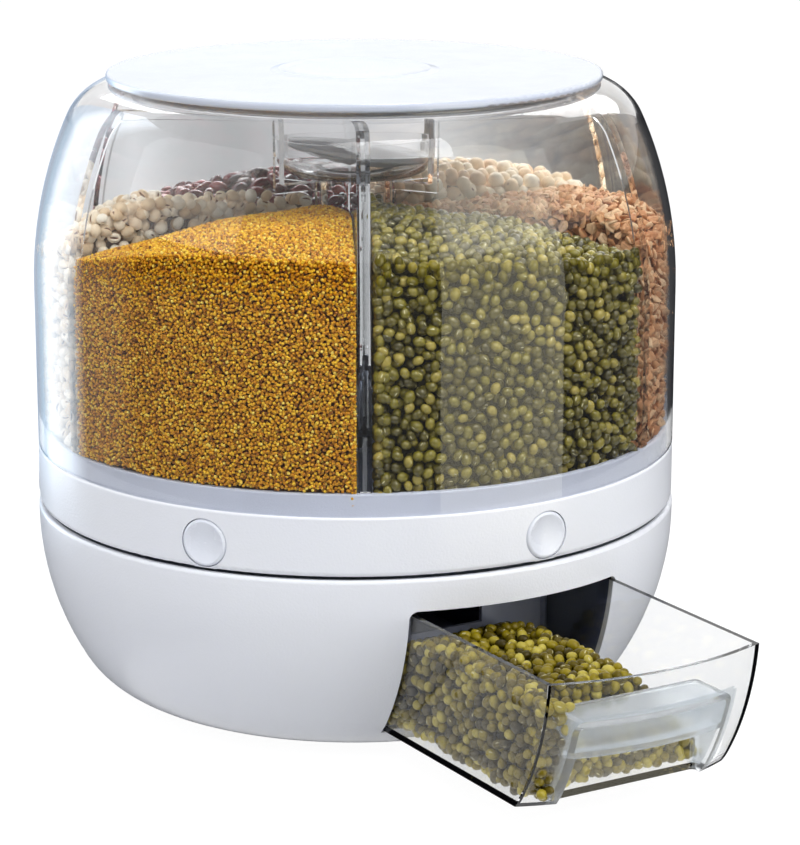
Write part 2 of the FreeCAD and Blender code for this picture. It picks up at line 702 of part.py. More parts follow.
def make_bay(cavity):
    """Walls and runners of the drawer's bay, trimmed to the inside of the bowl."""
    floor = BOWL_FLOOR
    wall_out = f"({BAY_INNER} + bay_wall)"
    back_far = f"({BAY_BACK} + bay_wall)"
    pieces = [
        ("bay_wall_left", f"-{wall_out}", f"-{BAY_INNER}", "-base_radius", BAY_BACK, floor, "ledge_height"),
        ("bay_wall_right", BAY_INNER, wall_out, "-base_radius", BAY_BACK, floor, "ledge_height"),
        ("bay_wall_back", f"-{wall_out}", wall_out, BAY_BACK, back_far, floor, "ledge_height"),
        ("drawer_runner_left", f"-{BAY_INNER}", "-runner_inner", "-base_radius", BAY_BACK, floor,
         "(drawer_bottom - running_gap)"),
        ("drawer_runner_right", "runner_inner", BAY_INNER, "-base_radius", BAY_BACK, floor,
         "(drawer_bottom - running_gap)"),
    ]
    made = []
    for label, left, right, front, back, low, high in pieces:
        block = box(label + "_block", left, right, front, back, low, high)
        made.append(boolean("Common", label, block, cavity))
    return made


# Bearing and pivot

def make_race(label, inner_face, outer_face):
    """A bearing race with a ball groove in its inner face."""
    body = new_body(label)
    ball_height = f"({DECK_TOP} + race_thickness + race_space / 2)"
    reach = f"sqrt((ball_radius + ball_play)^2 - ({inner_face} - {ball_height})^2)"
    revolve(body, [
        ("race_inner", outer_face),
        ("race_outer", outer_face),
        ("race_outer", inner_face),
        (f"(ball_circle + {reach})", inner_face),
        (f"(ball_circle - {reach})", inner_face, "ball_circle", ball_height),
        ("race_inner", inner_face),
    ])
    return body


def make_lower_race():
    return make_race("lower_race", f"({DECK_TOP} + race_thickness)", DECK_TOP)


def make_upper_race():
    return make_race("upper_race", f"({DECK_TOP} + race_thickness + race_space)", RING_BOTTOM)


def make_balls():
    """Bearing balls, as one group."""
    height = value(f"{DECK_TOP} + race_thickness + race_space / 2")
    radius = value("ball_circle")
    balls = []
    for index in range(int(value("ball_count"))):
        angle = 2 * math.pi * index / value("ball_count")
        centre = Vector(radius * math.cos(angle), radius * math.sin(angle), height)
        balls.append(Part.makeSphere(value("ball_radius"), centre))
    group = doc.addObject("Part::Feature", "bearing_balls")
    group.Shape = Part.makeCompound(balls)
    return group


def make_cage():
    """Flat ring that spaces the balls."""
    body = new_body("ball_cage")
    low = f"({DECK_TOP} + race_thickness + race_space / 2 - cage_thickness / 2)"
    high = f"({DECK_TOP} + race_thickness + race_space / 2 + cage_thickness / 2)"
    revolve(body, [
        ("(ball_circle - cage_width / 2)", low),
        ("(ball_circle + cage_width / 2)", low),
        ("(ball_circle + cage_width / 2)", high),
        ("(ball_circle - cage_width / 2)", high),
    ])
    hole = new_sketch(body, "XY_Plane", high)
    draw_circle(hole, "ball_circle", "0", "ball_radius + cage_hole_play")
    cut = pocket(body, hole, "cage_thickness")
    repeat_round(body, [cut], "ball_count")
    return body


def make_bush():
    """Flanged bush in the deck's boss."""
    body = new_body("pivot_bush")
    under = "(pivot_boss_bottom - bush_flange)"
    revolve(body, [
        (BORE, under),
        ("bush_flange_radius", under),
        ("bush_flange_radius", "pivot_boss_bottom"),
        ("bush_radius", "pivot_boss_bottom"),
        ("bush_radius", DECK_TOP),
        (BORE, DECK_TOP),
    ])
    return body


def make_bolt():
    """Pivot bolt: round head with a hexagon socket below, shank up through the ring's hub."""
    body = new_body("pivot_bolt")
    low = f"({HEAD_TOP} - bolt_head_height)"
    revolve(body, [
        ("0", low),
        ("(bolt_head_radius - bolt_bevel)", low),
        ("bolt_head_radius", f"({low} + bolt_bevel)"),
        ("bolt_head_radius", HEAD_TOP),
        ("bolt_radius", HEAD_TOP),
        ("bolt_radius", f"({HUB_TOP} + nut_height + bolt_end - bolt_bevel)"),
        ("(bolt_radius - bolt_bevel)", f"({HUB_TOP} + nut_height + bolt_end)"),
        ("0", f"({HUB_TOP} + nut_height + bolt_end)"),
    ])
    socket = new_sketch(body, "XY_Plane", low)
    draw_outline(socket, [(f"bolt_socket / cos(30) * cos({60 * k})", f"bolt_socket / cos(30) * sin({60 * k})")
                          for k in range(6)])
    pocket(body, socket, "bolt_socket_depth", reversed_way=True)
    return body


def make_washer():
    body = new_body("thrust_washer")
    revolve(body, [
        ("bolt_radius", HEAD_TOP),
        ("washer_radius", HEAD_TOP),
        ("washer_radius", WASHER_TOP),
        ("bolt_radius", WASHER_TOP),
    ])
    return body


def make_nut():
    """Hexagon nut on top of the ring's hub."""
    body = new_body("lock_nut")
    hexagon = new_sketch(body, "XY_Plane", HUB_TOP)
    draw_outline(hexagon, [(f"nut_radius * cos({60 * k})", f"nut_radius * sin({60 * k})") for k in range(6)])
    pad(body, hexagon, "nut_height")
    bore = new_sketch(body, "XY_Plane", f"{HUB_TOP} + nut_height")
    draw_circle(bore, "0", "0", "bolt_radius")
    pocket(body, bore, "nut_height")
    return body


# Turntable

def make_ring():
    """The turning ring: outer band, web, hub, lower spouts, gate rails, button sleeves and guides."""
    body = new_body("turntable_ring")
    inner = "(ring_radius - ring_wall)"
    shelf = "(ring_radius - ring_shelf)"
    shelf_under = f"({RING_TOP} - ring_wall)"
    revolve(body, [
        ("bolt_radius", RING_BOTTOM),
        ("(ring_radius - ring_low_round)", RING_BOTTOM),
        ("ring_radius", f"({RING_BOTTOM} + ring_low_round)",
         "(ring_radius - ring_low_round)", f"({RING_BOTTOM} + ring_low_round)"),
        ("ring_radius", f"({RING_TOP} - ring_top_round)"),
        ("(ring_radius - ring_top_round)", RING_TOP,
         "(ring_radius - ring_top_round)", f"({RING_TOP} - ring_top_round)"),
        (shelf, RING_TOP),
        (shelf, shelf_under),
        (inner, shelf_under),
        (inner, WEB_TOP),
        ("hub_boss_radius", WEB_TOP),
        ("hub_boss_radius", HUB_TOP),
        ("bolt_radius", HUB_TOP),
    ])
    inside = f"{WEB_TOP} - ring_web / 2"
    spout_top = f"({GATE_BOTTOM} - running_gap)"
    spout = new_sketch(body, "XY_Plane", inside)
    draw_rectangle(spout, f"-{SPOUT_HALF}", SPOUT_HALF, f"-{SPOUT_FAR}", f"-{SPOUT_NEAR}")
    spout_pad = pad(body, spout, f"{spout_top} - ({inside})")
    outlet = new_sketch(body, "XY_Plane", spout_top)
    draw_rectangle(outlet, "-outlet_half_width", "outlet_half_width", f"-{OUTLET_FAR}", "-outlet_near")
    outlet_cut = pocket(body, outlet, f"{spout_top} - {RING_BOTTOM} + passing")
    rail_near = f"({GATE_NEAR} - button_stroke)"
    rail_in = f"({SPOUT_HALF} + running_gap)"
    rail_out = f"({SPOUT_HALF} + running_gap + rail_thickness)"
    rails = new_sketch(body, "XY_Plane", inside)
    draw_rectangle(rails, f"-{rail_out}", f"-{rail_in}", f"-{GATE_FAR}", f"-{rail_near}")
    draw_rectangle(rails, rail_in, rail_out, f"-{GATE_FAR}", f"-{rail_near}")
    rails_pad = pad(body, rails, f"{GATE_TOP} - ({inside})")
    guide = new_sketch(body, "XY_Plane", inside)
    draw_rectangle(guide, "-guide_half_width", "guide_half_width", f"-{GUIDE_FAR}", f"-{GUIDE_NEAR}")
    guide_pad = pad(body, guide, f"button_height + guide_rise - ({inside})")
    stem_hole = new_sketch(body, "XZ_Plane", f"{GUIDE_FAR} + passing")
    draw_circle(stem_hole, "0", "button_height", "stem_radius + stem_gap")
    stem_cut = pocket(body, stem_hole, "guide_thickness + 2 * passing")
    sleeve = new_sketch(body, "XZ_Plane", "ring_radius - sleeve_length - ring_wall")
    draw_circle(sleeve, "0", "button_height", "button_radius + button_gap + sleeve_wall")
    sleeve_pad = pad(body, sleeve, "sleeve_length + ring_wall / 2")
    bore = new_sketch(body, "XZ_Plane", "ring_radius + far_passing")
    draw_circle(bore, "0", "button_height", "button_radius + button_gap")
    bore_cut = pocket(body, bore, "sleeve_length + ring_wall + far_passing + passing")
    repeat_round(body, [spout_pad, outlet_cut, rails_pad, guide_pad, stem_cut, sleeve_pad, bore_cut],
                 "compartments")
    under = new_sketch(body, "XY_Plane", RING_BOTTOM)
    draw_circle(under, "0", "0", "ring_radius")
    trim = pocket(body, under, "sleeve_wall + button_gap")
    body.Tip = trim
    doc.recompute()
    return body


def make_tray():
    """The floor of the compartments, with its rim, the column's socket and six outlets."""
    body = new_body("compartment_tray")
    round_radius = f"({TRAY_RADIUS} - tray_round)"
    round_height = f"({RIM_TOP} - tray_round)"
    revolve(body, [
        ("(column_radius - column_wall)", RING_TOP),
        (TRAY_RADIUS, RING_TOP),
        (TRAY_RADIUS, round_height),
        (round_radius, RIM_TOP, round_radius, round_height),
        (RIM_INNER, RIM_TOP),
        (RIM_INNER, TRAY_FLOOR),
        ("(column_radius - column_wall)", TRAY_FLOOR),
    ])
    spout_low = f"({GATE_TOP} + running_gap)"
    spout = new_sketch(body, "XY_Plane", spout_low)
    draw_rectangle(spout, f"-{SPOUT_HALF}", SPOUT_HALF, f"-{SPOUT_FAR}", f"-{SPOUT_NEAR}")
    spout_pad = pad(body, spout, f"{RING_TOP} + tray_floor / 2 - {spout_low}")
    outlet = new_sketch(body, "XY_Plane", TRAY_FLOOR)
    draw_rectangle(outlet, "-outlet_half_width", "outlet_half_width", f"-{OUTLET_FAR}", "-outlet_near")
    outlet_cut = pocket(body, outlet, f"{TRAY_FLOOR} - {spout_low} + passing")
    slope = new_sketch(body, "YZ_Plane", "0")
    draw_outline(slope, [
        (f"-({OUTLET_FAR} + funnel_spread)", f"({TRAY_FLOOR} + 0.01)"),
        (f"-{OUTLET_FAR}", RING_TOP),
        ("-outlet_near", RING_TOP),
        ("-(outlet_near - funnel_spread)", f"({TRAY_FLOOR} + 0.01)"),
    ])
    slope_cut = pocket(body, slope, "2 * outlet_half_width", midplane=True)
    repeat_round(body, [spout_pad, outlet_cut, slope_cut], "compartments")
    return body


def make_column():
    """Clear tube in the middle of the compartments, with the flange that stands on the tray."""
    body = new_body("hub_column")
    revolve(body, [
        ("(column_radius - column_wall)", TRAY_FLOOR),
        ("column_radius", TRAY_FLOOR),
        ("column_radius", "column_top"),
        ("(column_radius - column_wall)", "column_top"),
    ])
    return body


def divider_outline(border):
    """Outline of a divider, or of its hollow when a border is given."""
    curve = dome_curve(f"(dome_wall + divider_gap + {border})")
    top = f"(divider_top - {border})"
    step = f"({RIM_TOP} + divider_gap + {border})"
    low_outer = f"({RIM_INNER} - divider_gap - {border})"
    column = f"(column_radius + {border})"
    beside_cup = f"(cup_radius + cup_clear + {border})"
    under_cup = f"(cup_bottom - neck_round - divider_gap - {border})"
    return [
        (column, TRAY_FLOOR),
        (low_outer, TRAY_FLOOR),
        (low_outer, step),
        (curve["wall"][0], step),
        curve["wall"],
        curve["meeting"] + curve["side_centre"],
        (corner_radius_at(curve, top), top) + curve["corner_centre"],
        (beside_cup, top),
        (beside_cup, under_cup),
        (column, under_cup),
    ]


def make_divider(station):
    """A clear hollow panel between two compartments: two skins closed at the border, open below."""
    body = new_body("divider_%d" % (station + 1))
    panel = new_sketch(body, "XZ_Plane")
    draw_outline(panel, divider_outline("0"))
    pad(body, panel, "divider_thickness", midplane=True)
    hollow = new_sketch(body, "XZ_Plane")
    draw_outline(hollow, divider_outline("divider_border"))
    pocket(body, hollow, "divider_thickness - 2 * divider_skin", midplane=True)
    body.Placement = FreeCAD.Placement(Vector(), turn(divider_angle(station)) * X_TO_DRAWER_SIDE)
    return body


def make_dome():
    """The clear dome over the compartments."""
    body = new_body("clear_dome")
    outer = dome_curve()
    inner = dome_curve("dome_wall")
    lip_under = "(dome_top - dome_wall)"
    revolve(body, [
        ("(ring_radius - dome_wall)", RING_TOP),
        ("(ring_radius - edge_bevel)", RING_TOP),
        ("ring_radius", f"({RING_TOP} + edge_bevel)"),
        outer["wall"],
        outer["meeting"] + outer["side_centre"],
        outer["flat"] + outer["corner_centre"],
        ("mouth_radius", "dome_top"),
        ("mouth_radius", lip_under),
        inner["flat"],
        inner["meeting"] + inner["corner_centre"],
        inner["wall"] + inner["side_centre"],
    ])
    return body


# Cup and drying capsule

def make_cup():
    """The clear cup on the column."""
    body = new_body("capsule_cup")
    corner_x = "(cup_radius - cup_corner)"
    corner_y = "(cup_bottom + cup_corner)"
    inner_corner = "(cup_corner - cup_wall)"
    shoulder = "(cup_bottom - neck_round)"
    revolve(body, [
        ("0", "cup_bottom"),
        ("(column_radius - column_wall)", "cup_bottom"),
        ("(column_radius - column_wall)", "column_top"),
        ("column_radius", "column_top"),
        ("column_radius", shoulder),
        ("(column_radius + neck_round)", "cup_bottom", "(column_radius + neck_round)", shoulder),
        (corner_x, "cup_bottom"),
        ("cup_radius", corner_y, corner_x, corner_y),
        ("cup_radius", "cup_top"),
        ("(cup_radius - cup_wall)", "cup_top"),
        ("(cup_radius - cup_wall)", corner_y),
        (corner_x, "(cup_bottom + cup_wall)", corner_x, corner_y),
        ("0", "(cup_bottom + cup_wall)"),
    ])
    return body


def sphere_radius(depth):
    """Radius of the sphere whose cap spans the capsule and has a depth."""
    return f"((capsule_radius^2 + {depth}^2) / (2 * {depth}))"


def capsule_placement():
    """The capsule lies tilted on its round underside in the cup."""
    radius = value(sphere_radius("capsule_depth"))
    tilt = value("capsule_tilt")
    raised = radius - (radius - value("capsule_depth")) * math.cos(math.radians(tilt))
    place = turn(value("capsule_side")).multVec(Vector(value("capsule_shift"), 0, 0))
    place.z = value("cup_bottom + cup_wall + capsule_rest_gap") + raised
    lean = turn(value("capsule_side")) * FreeCAD.Rotation(Vector(0, 1, 0), tilt)
    return FreeCAD.Placement(place, lean)


def make_capsule_body():
    """Lower half of the drying capsule, with a round underside."""
    body = new_body("capsule_body")
    outer = sphere_radius("capsule_depth")
    centre = f"({outer} - capsule_depth)"
    inner = f"({outer} - capsule_wall)"
    inner_rim = f"sqrt({inner}^2 - {centre}^2)"
    revolve(body, [
        ("0", "-capsule_depth"),
        ("capsule_radius", "0", "0", centre),
        (inner_rim, "0"),
        ("0", "-(capsule_depth - capsule_wall)", "0", centre),
    ])
    body.Placement = capsule_placement()
    return body


def make_capsule_cap():
    """Upper half of the drying capsule: a rim and a slightly round top."""
    body = new_body("capsule_cap")
    outer = sphere_radius("capsule_crown")
    centre = f"(capsule_rim + capsule_crown - {outer})"
    inner_radius = "(capsule_radius - capsule_wall)"
    revolve(body, [
        (inner_radius, "0.2"),
        ("(capsule_radius - 0.4)", "0.2"),
        ("(capsule_radius - 0.4)", "0.5"),
        ("capsule_radius", "0.9"),
        ("capsule_radius", "capsule_rim"),
        ("0", "(capsule_rim + capsule_crown)", "0", centre),
        ("0", "(capsule_rim + capsule_crown - capsule_wall)"),
        (inner_radius, "(capsule_rim - capsule_wall / 2)"),
    ])
    body.Placement = capsule_placement()
    return body


# Lid

def make_lid():
    """The round lid with a low ring and a dish in its middle."""
    body = new_body("lid_disc")
    ring_in = "(lid_ring_radius - lid_ring_width)"
    dish_radius = f"(({ring_in}^2 + lid_dish^2) / (2 * lid_dish))"
    crest = f"({LID_TOP} + lid_ring_height)"
    middle = "(lid_ring_radius - lid_ring_width / 2)"
    revolve(body, [
        ("0", LID_BOTTOM),
        ("(lid_radius - lid_round)", LID_BOTTOM),
        ("lid_radius", f"({LID_BOTTOM} + lid_round)",
         "(lid_radius - lid_round)", f"({LID_BOTTOM} + lid_round)"),
        ("lid_radius", f"({LID_TOP} - lid_round)"),
        ("(lid_radius - lid_round)", LID_TOP,
         "(lid_radius - lid_round)", f"({LID_TOP} - lid_round)"),
        ("lid_ring_radius", LID_TOP),
        (middle, crest),
        (ring_in, LID_TOP),
        ("0", f"({LID_TOP} - lid_dish)", "0", f"({LID_TOP} - lid_dish + {dish_radius})"),
    ])
    return body


def make_skirt():
    """Clear collar under the lid that centres it in the dome's mouth."""
    body = new_body("lid_skirt")
    low = f"({LID_BOTTOM} - skirt_height)"
    revolve(body, [
        ("(skirt_radius - skirt_wall)", low),
        ("skirt_radius", low),
        ("skirt_radius", LID_BOTTOM),
        ("(skirt_radius - skirt_wall)", LID_BOTTOM),
    ])
    return body


def make_seal():
    """Soft seal ring round the skirt."""
    body = new_body("lid_seal")
    low = f"({LID_BOTTOM} - seal_height)"
    outer = "(mouth_radius - running_gap)"
    revolve(body, [
        ("skirt_radius", low),
        (f"({outer} - edge_bevel)", low),
        (outer, f"({low} + edge_bevel)"),
        (outer, f"({LID_BOTTOM} - edge_bevel)"),
        (f"({outer} - edge_bevel)", LID_BOTTOM),
        ("skirt_radius", LID_BOTTOM),
    ])
    return body


# Buttons and gates

def outward(station, height):
    """Placement whose own Z axis points outwards at a compartment."""
    rotation = turn(station_angle(station)) * FreeCAD.Rotation(Vector(1, 0, 0), 90)
    return FreeCAD.Placement(Vector(0, 0, height), rotation)


def make_button(station):
    """Round push button with a dished face and a stem that reaches the gate's tab."""
    body = new_body("button_%d" % (station + 1))
    dish_edge = "(button_radius - button_round)"
    dish_radius = f"(({dish_edge}^2 + button_dish^2) / (2 * button_dish))"
    revolve(body, [
        ("0", TAB_FAR),
        ("stem_radius", TAB_FAR),
        ("stem_radius", CAP_BACK),
        ("button_radius", CAP_BACK),
        ("button_radius", f"({CAP_FRONT} - button_round)"),
        (dish_edge, CAP_FRONT, dish_edge, f"({CAP_FRONT} - button_round)"),
        ("0", f"({CAP_FRONT} - button_dish)", "0", f"({CAP_FRONT} - button_dish + {dish_radius})"),
    ])
    body.Placement = outward(station, value("button_height"))
    return body


def make_gate(station):
    """Sliding plate under the outlet, with a window and a tab for the button's stem."""
    body = new_body("gate_%d" % (station + 1))
    plate = new_sketch(body, "XY_Plane", GATE_BOTTOM)
    draw_rectangle(plate, f"-{SPOUT_HALF}", SPOUT_HALF, f"-{GATE_FAR}", f"-{GATE_NEAR}")
    pad(body, plate, "gate_thickness")
    opening = new_sketch(body, "XY_Plane", GATE_TOP)
    draw_rectangle(opening, "-outlet_half_width", "outlet_half_width", f"-{WINDOW_FAR}",
                   f"-({WINDOW_NEAR} + gate_bridge)")
    pocket(body, opening, "gate_thickness")
    tab = new_sketch(body, "XY_Plane", f"{GATE_BOTTOM} - gate_tab_drop")
    draw_rectangle(tab, "-gate_tab_half_width", "gate_tab_half_width", f"-{TAB_FAR}", f"-{GATE_FAR}")
    pad(body, tab, "gate_tab_drop + gate_thickness")
    body.Placement = FreeCAD.Placement(Vector(), turn(station_angle(station)))
    return body


def make_spring(station):
    """Coil spring between the guide rib and the button's cap."""
    start = value(GUIDE_FAR + " + coil_wire / 2 + running_gap / 2")
    length = value(f"{CAP_BACK} - {GUIDE_FAR} - coil_wire - running_gap")
    turns = int(value("coil_turns"))
    radius = value("coil_radius")
    wire = value("coil_wire / 2")
    quarters = 4 * turns
    rise = length / quarters
    edges = []
    for quarter in range(quarters):
        places = []
        for share in (0.0, 0.5, 1.0):
            angle = (quarter + share) * math.pi / 2
            places.append(Vector(radius * math.cos(angle), radius * math.sin(angle),
                                 start + (quarter + share) * rise))
        edges.append(Part.Arc(*places).toShape())
    path = Part.Wire(edges)
    tangent = path.Edges[0].tangentAt(path.Edges[0].FirstParameter)
    circle = Part.Wire([Part.makeCircle(wire, Vector(radius, 0, start), tangent)])
    coil = path.makePipeShell([circle], True, False)
    spring = doc.addObject("Part::Feature", "gate_spring_%d" % (station + 1))
    spring.Shape = coil
    spring.Placement = outward(station, value("button_height"))
    return spring


# Drawer

def make_drawer(outside, inside, behind_lip):
    """Clear drawer whose front follows the bowl, with a finger recess from below."""
    half = "drawer_half_width"
    far = "(base_radius + far_passing)"
    block = box("drawer_block", f"-{half}", half, f"-{far}", "drawer_back", "drawer_bottom", "drawer_top")
    shell = boolean("Common", "drawer_outer", block, outside)
    hollow_block = box("drawer_hollow_block", f"-({half} - drawer_wall)", f"({half} - drawer_wall)",
                       f"-{far}", "(drawer_back - drawer_wall)", "(drawer_bottom + drawer_wall)", "base_rim")
    hollow = boolean("Common", "drawer_hollow", hollow_block, inside)
    tub = boolean("Cut", "drawer_tub", shell, hollow)
    recess = boolean("Common", "recess_outer", rounded_hollow("recess_former", "grip_wall"), shell)
    joined = boolean("Fuse", "drawer_joined", tub, recess)
    sides = ("-grip_half_width", "grip_half_width", f"-{far}", "-grip_back")
    below = box("hand_below", *sides, "0", "grip_lip")
    lip_block = box("hand_lip_block", *sides, "(grip_lip - passing)", "(grip_lip + lip_bead + passing)")
    at_lip = boolean("Common", "hand_lip", lip_block, behind_lip)
    high_block = box("hand_high_block", *sides, "(grip_lip + lip_bead)", "grip_ceiling")
    above = boolean("Common", "hand_high", high_block, inside)
    reach = boolean("Fuse", "hand_reach", boolean("Fuse", "hand_lower", below, at_lip), above)
    hand = boolean("Common", "hand_room", rounded_hollow("hand_former", "0"), reach)
    handled = boolean("Cut", "drawer_handled", joined, hand)
    notch = box("notch", "-notch_half_width", "notch_half_width", "0", f"{far}", "notch_bottom", "base_rim")
    notched = boolean("Cut", "drawer_notched", handled, notch)
    hook = box("hook", "-hook_half_width", "hook_half_width", "(drawer_back - drawer_wall)", "drawer_back",
               "(drawer_bottom - hook_depth)", "(drawer_bottom + drawer_wall)")
    hooked = boolean("Fuse", "drawer_hooked", notched, hook)
    return hooked


doc.recompute()
cavity = make_cavity_former()
front_outside = make_former("front_former", "0")
front_inside = make_former("front_inner_former", "drawer_wall")
front_lip = make_former("front_lip_former", "(drawer_wall + lip_depth)")

parts = [make_base_bowl(), make_rubber_feet(), make_base_deck(), make_deck_screws(), make_chute()]
parts += make_bay(cavity)
parts += [make_lower_race(), make_upper_race(), make_balls(), make_cage()]
parts += [make_bush(), make_bolt(), make_washer(), make_nut()]
parts += [make_ring(), make_tray(), make_column(), make_dome()]
stations = range(int(value("compartments")))
parts += [make_divider(station) for station in stations]
parts += [make_cup(), make_capsule_body(), make_capsule_cap()]
parts += [make_lid(), make_skirt(), make_seal()]
parts += [make_button(station) for station in stations]
parts += [make_gate(station) for station in stations]
parts += [make_spring(station) for station in stations]

drawer_shut = make_drawer(front_outside, front_inside, front_lip)
drawer = doc.addObject("Part::Feature", "drawer")
drawer.Shape = drawer_shut.Shape
drawer.Placement = FreeCAD.Placement(Vector(0, -value("drawer_open"), 0), FreeCAD.Rotation())
parts.append(drawer)

# The turntable's own pieces are turned at rest
TURNED = ["turntable_ring", "compartment_tray"]
for piece in parts:
    if piece.Label in TURNED:
        piece.Placement = FreeCAD.Placement(Vector(), turn(value("rest_turn")))

doc.recompute()
for item in doc.Objects:
    if "Invalid" in item.State or "Error" in item.State:
        raise RuntimeError(item.Label + " is " + str(item.State))
for piece in parts:
    shape = piece.Shape
    if shape.isNull() or not shape.isValid() or not shape.Solids:
        raise RuntimeError(piece.Label + " has no valid shape")
    shape.exportStep("parts/" + piece.Label + ".step")
    print("%-22s %d solids  %.0f mm3" % (piece.Label, len(shape.Solids), shape.Volume))
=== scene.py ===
import math

import bmesh
import bpy
import numpy as np
from mathutils import Euler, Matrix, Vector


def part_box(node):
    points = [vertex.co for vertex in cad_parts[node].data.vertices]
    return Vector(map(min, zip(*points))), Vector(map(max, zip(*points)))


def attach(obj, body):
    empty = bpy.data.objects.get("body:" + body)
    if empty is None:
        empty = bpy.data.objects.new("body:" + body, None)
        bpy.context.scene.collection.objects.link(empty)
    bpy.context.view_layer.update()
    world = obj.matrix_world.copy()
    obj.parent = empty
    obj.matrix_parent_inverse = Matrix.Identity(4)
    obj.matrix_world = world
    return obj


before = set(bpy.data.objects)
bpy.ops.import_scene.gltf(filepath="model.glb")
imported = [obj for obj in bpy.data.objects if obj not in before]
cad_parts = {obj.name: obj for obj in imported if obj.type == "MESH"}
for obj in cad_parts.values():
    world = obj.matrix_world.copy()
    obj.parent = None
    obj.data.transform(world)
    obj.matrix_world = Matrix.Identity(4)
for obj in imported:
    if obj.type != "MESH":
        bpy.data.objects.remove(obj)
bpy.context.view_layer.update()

# Grain dispenser, filled with six kinds of grain and beans, with a heap of
# beans in the pulled-out drawer. All lengths are in metres.

MM = 0.001

# Draws in a set order: the same grains every time
rng = np.random.default_rng(7)

# Sizes that come from the frame. The running gap is what the grains keep from the plastic.

DOME_LOW, DOME_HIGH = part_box("clear_dome")
COLUMN_LOW, COLUMN_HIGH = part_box("hub_column")
TRAY_LOW, TRAY_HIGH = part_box("compartment_tray")
DRAWER_LOW, DRAWER_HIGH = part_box("drawer")

STATIONS = 6
WEDGE = 2 * math.pi / STATIONS
REST_TURN = math.radians(1.5)
RUNNING_GAP = 0.4 * MM
DOME_WALL = 2.5 * MM
SHELL = (DOME_HIGH[0] - DOME_LOW[0]) / 2 - DOME_WALL - RUNNING_GAP
COLUMN = (COLUMN_HIGH[0] - COLUMN_LOW[0]) / 2 + RUNNING_GAP
DIVIDER_HALF = 3 * MM + RUNNING_GAP
TRAY_TOP = COLUMN_LOW[2]
RIM_WIDTH = 3.3 * MM
RIM_TOP = TRAY_HIGH[2]

DRAWER_WALL = 2.5 * MM
DRAWER_LEFT = DRAWER_LOW[0] + DRAWER_WALL
DRAWER_RIGHT = DRAWER_HIGH[0] - DRAWER_WALL
DRAWER_BACK = DRAWER_HIGH[1] - DRAWER_WALL
DRAWER_FLOOR = 15 * MM + DRAWER_WALL
POCKET_HALF = 41 * MM
POCKET_BACK = -229 * MM
POCKET_TOP = 58 * MM
POCKET_MIDDLE = POCKET_BACK - 20 * MM


# Colours and node helpers

def srgb(red, green, blue):
    """A colour given as 0 to 255 on screen, as the linear colour of the shaders."""
    def linear(level):
        share = level / 255
        return share / 12.92 if share <= 0.04045 else ((share + 0.055) / 1.055) ** 2.4
    return (linear(red), linear(green), linear(blue), 1.0)


def new_material(name):
    material = bpy.data.materials.new(name)
    material.use_nodes = True
    tree = material.node_tree
    return material, tree, tree.nodes["Principled BSDF"]


def add(tree, kind, **inputs):
    """A node with its named inputs set to a value or linked to an output."""
    node = tree.nodes.new("ShaderNode" + kind)
    for name, content in inputs.items():
        socket = node.inputs[name.replace("_", " ")]
        if isinstance(content, bpy.types.NodeSocket):
            tree.links.new(content, socket)
        else:
            socket.default_value = content
    return node


def ramp(tree, factor, stops):
    """A colour ramp over (position, colour) stops."""
    node = add(tree, "ValToRGB", Fac=factor)
    elements = node.color_ramp.elements
    elements[0].position, elements[0].color = stops[0]
    elements[1].position, elements[1].color = stops[-1]
    for position, colour in stops[1:-1]:
        element = elements.new(position)
        element.color = colour
    return node.outputs["Color"]


def reckon(tree, operation, *terms):
    """A sum, product or other reckoning over numbers and sockets."""
    node = tree.nodes.new("ShaderNodeMath")
    node.operation = operation
    for socket, content in zip(node.inputs, terms):
        if isinstance(content, bpy.types.NodeSocket):
            tree.links.new(content, socket)
        else:
            socket.default_value = content
    return node.outputs["Value"]


def between(tree, factor, low, high):
    """A number that goes from low to high as the factor goes from 0 to 1."""
    node = add(tree, "MapRange", Value=factor, To_Min=low, To_Max=high)
    return node.outputs["Result"]


def mix_colour(tree, factor, first, second):
    """The first colour at factor 0, the second at factor 1."""
    node = tree.nodes.new("ShaderNodeMix")
    node.data_type = "RGBA"
    for socket, content in zip((node.inputs[0], node.inputs[6], node.inputs[7]), (factor, first, second)):
        if isinstance(content, bpy.types.NodeSocket):
            tree.links.new(content, socket)
        else:
            socket.default_value = content
    return node.outputs[2]


def noise(tree, scale, detail=3.0, vector=None):
    """Noise over the object's own coordinates, in cycles for each metre."""
    node = add(tree, "TexNoise", Scale=scale, Detail=detail)
    if vector is None:
        vector = tree.nodes.new("ShaderNodeTexCoord").outputs["Object"]
    tree.links.new(vector, node.inputs["Vector"])
    return node.outputs["Fac"]


def bump(tree, shader, height, strength, distance):
    node = add(tree, "Bump", Height=height, Strength=strength, Distance=distance)
    tree.links.new(node.outputs["Normal"], shader.inputs["Normal"])


# Materials of the shell and the mechanism

def moulded(name, colour, shade, roughness, coat=0.0, grain=0.0004, soft=0.0):
    """Moulded plastic: two near tones in soft clouds, a fine skin and uneven gloss."""
    material, tree, shader = new_material(name)
    clouds = noise(tree, 9.0)
    tree.links.new(ramp(tree, clouds, [(0.3, shade), (0.7, colour)]), shader.inputs["Base Color"])
    smears = noise(tree, 40.0, 5.0)
    tree.links.new(between(tree, smears, roughness - 0.05, roughness + 0.07), shader.inputs["Roughness"])
    bump(tree, shader, noise(tree, 900.0, 2.0), 0.25, grain)
    shader.inputs["Coat Weight"].default_value = coat
    shader.inputs["Coat Roughness"].default_value = 0.12
    shader.inputs["Subsurface Weight"].default_value = soft
    shader.inputs["Subsurface Radius"].default_value = (0.004, 0.004, 0.005)
    return material


